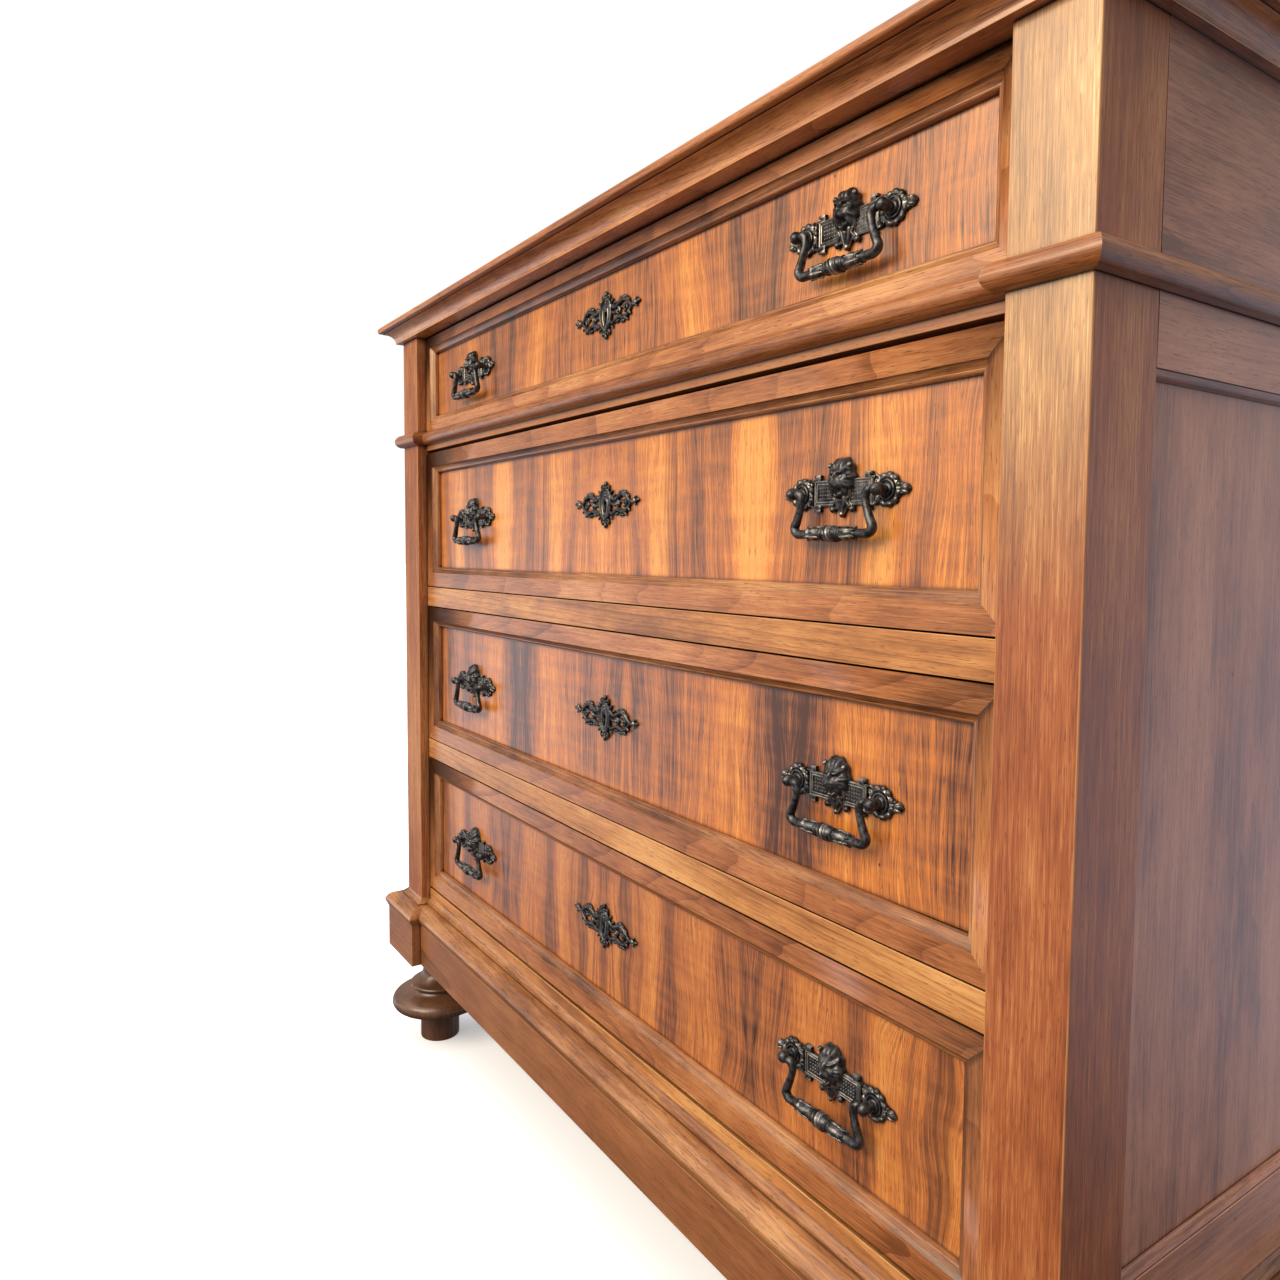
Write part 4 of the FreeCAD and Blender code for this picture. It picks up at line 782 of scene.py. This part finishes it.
def escutcheonMesh():
    bm = bmesh.new()
    thick = keyPlate["thickness"]
    for sign in (-1, 1):
        slab(bm, shieldHalf(sign), thick + 0.8, 0.35)
        # Rim of the shield
        limb(bm, [(sign * x, z, r, thick + 0.6) for x, z, r in ((0.8, 15.4, 1.1), (5, 14, 1.3), (9.4, 10, 1.4),
                  (11, 2, 1.4), (9.6, -6.5, 1.4), (6.2, -12.6, 1.3), (1, -16.6, 1.1))], sides=8)
        limb(bm, [(sign * x, z, 0.7, thick + 0.9) for x, z in ((4.6, 5), (5.6, 0), (4.8, -6), (3, -11))],
             sides=6)
        # Upper and lower arms wave outwards and meet in a bud
        limb(bm, [(sign * x, z, r, thick) for x, z, r in (
                  (9, 9, 1.2), (14, 5.2, 2.0), (21, 4.6, 2.3), (28, 7.6, 2.4),
                  (35, 9.2, 2.2), (42, 6.4, 2.1), (48, 1.8, 1.9), (54, 0.4, 1.5), (59, 1.6, 1.2))], flat=0.8,
             sides=10)
        limb(bm, [(sign * x, z, r, thick) for x, z, r in ((8, -8, 1.2), (13, -10.4, 1.9), (20, -8.4, 2.2),
                  (27, -6.8, 2.1), (34, -8.8, 2.3), (41, -8.2, 2.1), (46, -4.2, 1.8), (50, -0.6, 1.3))],
             flat=0.8, sides=10)
        limb(bm, [(sign * x, z, r, thick * 0.8) for x, z, r in ((10.5, 1, 1.4), (18, -1.4, 1.7), (26, 0.6, 1.7),
                  (33, 1.8, 1.5), (39, -1.2, 1.2))], flat=0.8, sides=8)
        volute(bm, (sign * 24.5, -1.2), 4.2, 1.3, 90, -sign * 330, thick * 0.8)
        volute(bm, (sign * 38.5, 0.4), 4.4, 1.3, 250, sign * 330, thick * 0.8)
        for x, z, length, width, turn in ((30, 11.2, 4.4, 1.9, 0.35), (37, 11.2, 4.2, 1.8, -0.2),
                                          (44, 7.8, 4.0, 1.7, -0.6), (17, 7.8, 3.8, 1.7, 0.5),
                                          (23, -11.0, 3.8, 1.7, 0.2), (32, -12.2, 4.4, 1.9, -0.1),
                                          (40, -11.2, 4.0, 1.8, -0.5), (47, -6.6, 3.4, 1.5, -0.8)):
            blob(bm, (sign * x, -thick, z), (length, 1.3, width), turn=-sign * turn)
        # Bud at the end of the arm
        for x, z, size, turn in ((57, 1.2, (3.4, 1.8, 2.9), 0), (62.2, 1.6, (4.6, 1.5, 2.0), -0.1),
                                 (59, 4.2, (3.2, 1.2, 1.3), -0.7), (59, -1.8, (3.2, 1.2, 1.3), 0.6)):
            blob(bm, (sign * x, -thick, z), size, turn=sign * turn)
        # Curls that carry the bud above and the drop below
        volute(bm, (sign * 5.4, 17.6), 3.2, 1.2, 240, sign * 300, thick)
        volute(bm, (sign * 5.2, -19.4), 3.2, 1.2, 120, -sign * 300, thick)
        blob(bm, (sign * 12.6, -thick, 12.2), (3.2, 1.2, 1.6), turn=-sign * 0.8)
        blob(bm, (sign * 12.2, -thick, -14.6), (3.4, 1.2, 1.6), turn=sign * 0.7)
    for z, size in ((20.6, (2.4, 1.8, 3.4)), (17.2, (3.4, 1.6, 1.6)), (-22.6, (2.2, 1.8, 3.4)),
                    (-18.8, (3.2, 1.6, 1.6))):
        blob(bm, (0, -thick, z), size)
    for z in (8.5, 11.8):
        blob(bm, (0, -thick - 0.6, z), (1.6, 1.2, 1.4))
    return finished(bm, "keyholePlate")


def setCasting(mesh, name, place, nodeName, body):
    # Copies the casting to its place on the chest
    copy = mesh.copy()
    copy.name = name
    copy.transform(Matrix.Translation(place) @ Matrix.Scale(mm, 4))
    copy.materials.clear()
    copy.materials.append(materials["ironBronzed"])
    piece = addObject(name, copy)
    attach(piece, body)
    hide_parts(nodeName)


def dressDrawers():
    handle, hanging, keyhole = handlePlateMesh(), bailMesh(), escutcheonMesh()
    places = {joint["child"]: Vector(joint["pos_m"]) for joint in frame["joints"] if joint["type"] == "hinge"}
    for count in range(1, 5):
        name = f"drawer_{count}"
        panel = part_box(f"{name}_front")[0].y
        for side in ("left", "right"):
            bail = f"bail_{count}_{side}"
            place = places[bail]
            middle = (place.x, panel, place.z)
            setCasting(handle, f"{name}_handle_plate_{side}", middle, f"{name}_handle_plates", name)
            setCasting(hanging, f"{bail}_cast", place, bail, bail)
        low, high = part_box(f"{name}_escutcheon")
        top = keyPlate["top"] / (keyPlate["top"] + keyPlate["bottom"])
        middle = high.z - (high.z - low.z) * top
        setCasting(keyhole, f"{name}_keyhole_plate", (0, panel, middle), f"{name}_escutcheon", name)
        lock = nodes[f"{name}_lock"].data.materials
        lock.clear()
        lock.append(materials["ironLock"])


dressDrawers()
print("castings set")


# Turned foot, millimetres: peg, flattened bun with a round rim, undercut cove, domed ring and neck
foot = {"peg": 29, "pegTop": 51, "bun": 71, "rimHalf": 10.3, "ring": 44.2, "ringLevel": 84.4, "neck": 25,
        "height": 134.5, "steps": 72}


def footProfile():
    peg, half, ring, level, neck = (foot[name] for name in ("peg", "rimHalf", "ring", "ringLevel", "neck"))
    centre, middle = foot["bun"] - half, foot["pegTop"] + half
    pegLine = [(0, 0), (peg - 1.6, 0), (peg - 0.4, 0.7), (peg, 2.4), (peg, foot["pegTop"])]
    rim = [(centre + half * math.cos(math.radians(angle)), middle + half * math.sin(math.radians(angle)))
           for angle in range(-90, 76, 15)]
    cove = [(57, 73.2), (50, 74.4), (45, 75.6), (41.8, 77.4), (40.4, 79.6), (40.8, 82), (42.6, 83.4)]
    dome = [(ring - 0.4, level), (ring, level + 1.2), (ring - 0.5, level + 2.6), (ring - 2, level + 3.6),
            (ring - 5, level + 4.6), (ring - 9, level + 7), (ring - 13.4, level + 11),
            (ring - 17, level + 15.4)]
    return pegLine + rim + cove + dome + [(neck + 0.6, level + 19), (neck, level + 22), (neck, foot["height"]),
                                          (0, foot["height"])]


def turnFeet(nodeName, seed):
    low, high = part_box(nodeName)
    dice = random.Random(seed)
    for sign, side in ((-1, "left"), (1, "right")):
        bm = bmesh.new()
        turnedOn(bm, footProfile(), (0, 0, 0), axis=(0, 0, 1), steps=foot["steps"])
        place = Vector((sign * (high.x - foot["bun"] * mm), (low.y + high.y) / 2, 0))
        bmesh.ops.transform(bm, matrix=Matrix.Translation(place) @ Matrix.Scale(mm, 4), verts=bm.verts)
        bmesh.ops.remove_doubles(bm, verts=bm.verts, dist=weld)
        layGrain(bm, alongZ, dice)
        mesh = finished(bm, f"{nodeName}_{side}_turned")
        mesh.materials.append(materials["walnutFootShaded"])
        piece = addObject(mesh.name, mesh)
        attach(piece, nodes[nodeName]["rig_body"])
        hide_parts(nodeName)


turnFeet("feet_front", footSeed)
turnFeet("feet_rear", footSeed + 1)
print("feet turned")


# Stage: pale floor, soft studio light, and the camera where the photographer stood
stage = {"floorColour": "F1F6FF", "floorGlow": 0.35, "ceiling": "FFFFFF", "ceilingStrength": 3.0,
         "walls": "FFF6EA", "wallsStrength": 0.32, "carpet": "C4CAD8", "carpetStrength": 0.42,
         "ground": "B08A6A", "groundStrength": 0.2}
# Sine of the height at which carpet and ground begin and are full; the ceiling grows as a power of it
fades = {"ceilingPower": 4.0, "carpet": (0.03, -0.06), "ground": (-0.36, -0.55)}
backdropStrength = 1.05
# The window is one large lamp in front of the chest; metres and watts
window = {"place": Vector((0.1, -2.3, 1.95)), "aim": Vector((0.15, -0.2, 0.65)), "size": (2.2, 1.3),
          "power": 68, "colour": "FFE9C6"}
# Bright places in the room that the polish mirrors: direction, half angle in degrees, colour, strength
glows = [((-0.9, -0.43, -0.1), 17, "F4F6FF", 1.15), ((0.1, -1.0, 0.05), 50, "FFEBD6", 0.3),
         ((-0.57, -0.8, 0.22), 21, "FFEEDC", 1.5), ((0.36, 0.91, -0.12), 33, "C2BCD0", 0.82)]


def buildFloor():
    bm = bmesh.new()
    bmesh.ops.create_grid(bm, x_segments=1, y_segments=1, size=60)
    mesh = toMesh(bm, "floor")
    material, tree = startMaterial("paleFloor")
    closeMaterial(tree, {"Base Color": shade(stage["floorColour"]), "Roughness": 1.0, "Specular IOR Level": 0.0,
                         "Emission Color": shade("FFFFFF"), "Emission Strength": stage["floorGlow"]})
    mesh.materials.append(material)
    floor = addObject("floor", mesh)
    # The room's brown floor tints the object instead of this white one
    floor.visible_diffuse = False
    floor.visible_glossy = False
    floor.visible_shadow = False


def hangWindow():
    lamp = bpy.data.lights.new("window", "AREA")
    lamp.shape = "RECTANGLE"
    lamp.size, lamp.size_y = window["size"]
    lamp.energy = window["power"]
    lamp.color = shade(window["colour"])[:3]
    holder = addObject("window", lamp)
    holder.location = window["place"]
    holder.rotation_euler = (window["aim"] - window["place"]).to_track_quat("-Z", "Y").to_euler()


def buildLight():
    world = bpy.data.worlds.new("studio")
    world.use_nodes = True
    tree = world.node_tree
    tree.nodes.clear()
    # A white backdrop to look at; the ceiling glows to light the floor, and the ground gives a brown bounce
    backdrop = addNode(tree, "Background", {"Color": shade("FFFFFF"), "Strength": backdropStrength})
    way = addNode(tree, "TexCoord").outputs["Generated"]
    height = addNode(tree, "SeparateXYZ", {0: way}).outputs[2]
    rise = addNode(tree, "Math", {0: height, 1: 0.0}, operation="MAXIMUM").outputs[0]
    rise = addNode(tree, "Math", {0: rise, 1: fades["ceilingPower"]}, operation="POWER").outputs[0]
    amounts = {"ceiling": rise}
    for name in ("carpet", "ground"):
        amounts[name] = addNode(tree, "MapRange", {0: height, 1: fades[name][0], 2: fades[name][1],
                                                   3: 0.0, 4: 1.0}).outputs[0]
    glow = None
    for name in ("walls", "ceiling", "carpet", "ground"):
        part = addNode(tree, "Background", {"Color": shade(stage[name]),
                                            "Strength": stage[name + "Strength"]}).outputs[0]
        glow = addNode(tree, "MixShader", {0: amounts[name], 1: glow, 2: part}).outputs[0] if glow else part
    for towards, spread, colour, strength in glows:
        facing = addNode(tree, "VectorMath", {0: way, 1: Vector(towards).normalized()},
                         operation="DOT_PRODUCT").outputs["Value"]
        soft = addNode(tree, "MapRange", {0: facing, 1: math.cos(math.radians(spread)), 2: 1.0, 3: 0.0,
                                          4: strength}, interpolation_type="SMOOTHSTEP").outputs[0]
        part = addNode(tree, "Background", {"Color": shade(colour), "Strength": soft}).outputs[0]
        glow = addNode(tree, "AddShader", {0: glow, 1: part}).outputs[0]
    seen = addNode(tree, "LightPath").outputs["Is Camera Ray"]
    both = addNode(tree, "MixShader", {0: seen, 1: glow, 2: backdrop.outputs[0]})
    addNode(tree, "OutputWorld", {"Surface": both.outputs[0]})
    bpy.context.scene.world = world


# Metres, degrees, and pixels of the picture, whose middle is off the axis of the lens
view = {"place": (0.8818, -0.7276, 0.7513), "yaw": 55.149, "pitch": -3.622, "roll": 0.479,
        "focalPixels": 957.1, "middleX": 684.1, "middleY": 615.2, "picture": 1280}


def buildCamera():
    yaw, pitch, roll = (math.radians(view[name]) for name in ("yaw", "pitch", "roll"))
    forward = Vector((-math.sin(yaw) * math.cos(pitch), math.cos(yaw) * math.cos(pitch), math.sin(pitch)))
    level = forward.cross(Vector((0, 0, 1))).normalized()
    upright = level.cross(forward)
    right = level * math.cos(roll) + upright * math.sin(roll)
    up = upright * math.cos(roll) - level * math.sin(roll)
    lens = bpy.data.cameras.new("camera")
    lens.sensor_width = 36
    lens.lens = view["focalPixels"] / view["picture"] * lens.sensor_width
    lens.shift_x = 0.5 - view["middleX"] / view["picture"]
    lens.shift_y = view["middleY"] / view["picture"] - 0.5
    lens.clip_start = 0.01
    camera = addObject("camera", lens)
    turn = Matrix((right, up, -forward)).transposed().to_4x4()
    camera.matrix_world = Matrix.Translation(view["place"]) @ turn
    bpy.context.scene.camera = camera


buildFloor()
buildLight()
hangWindow()
buildCamera()
bpy.context.scene.view_settings.view_transform = "Standard"
print("stage set")
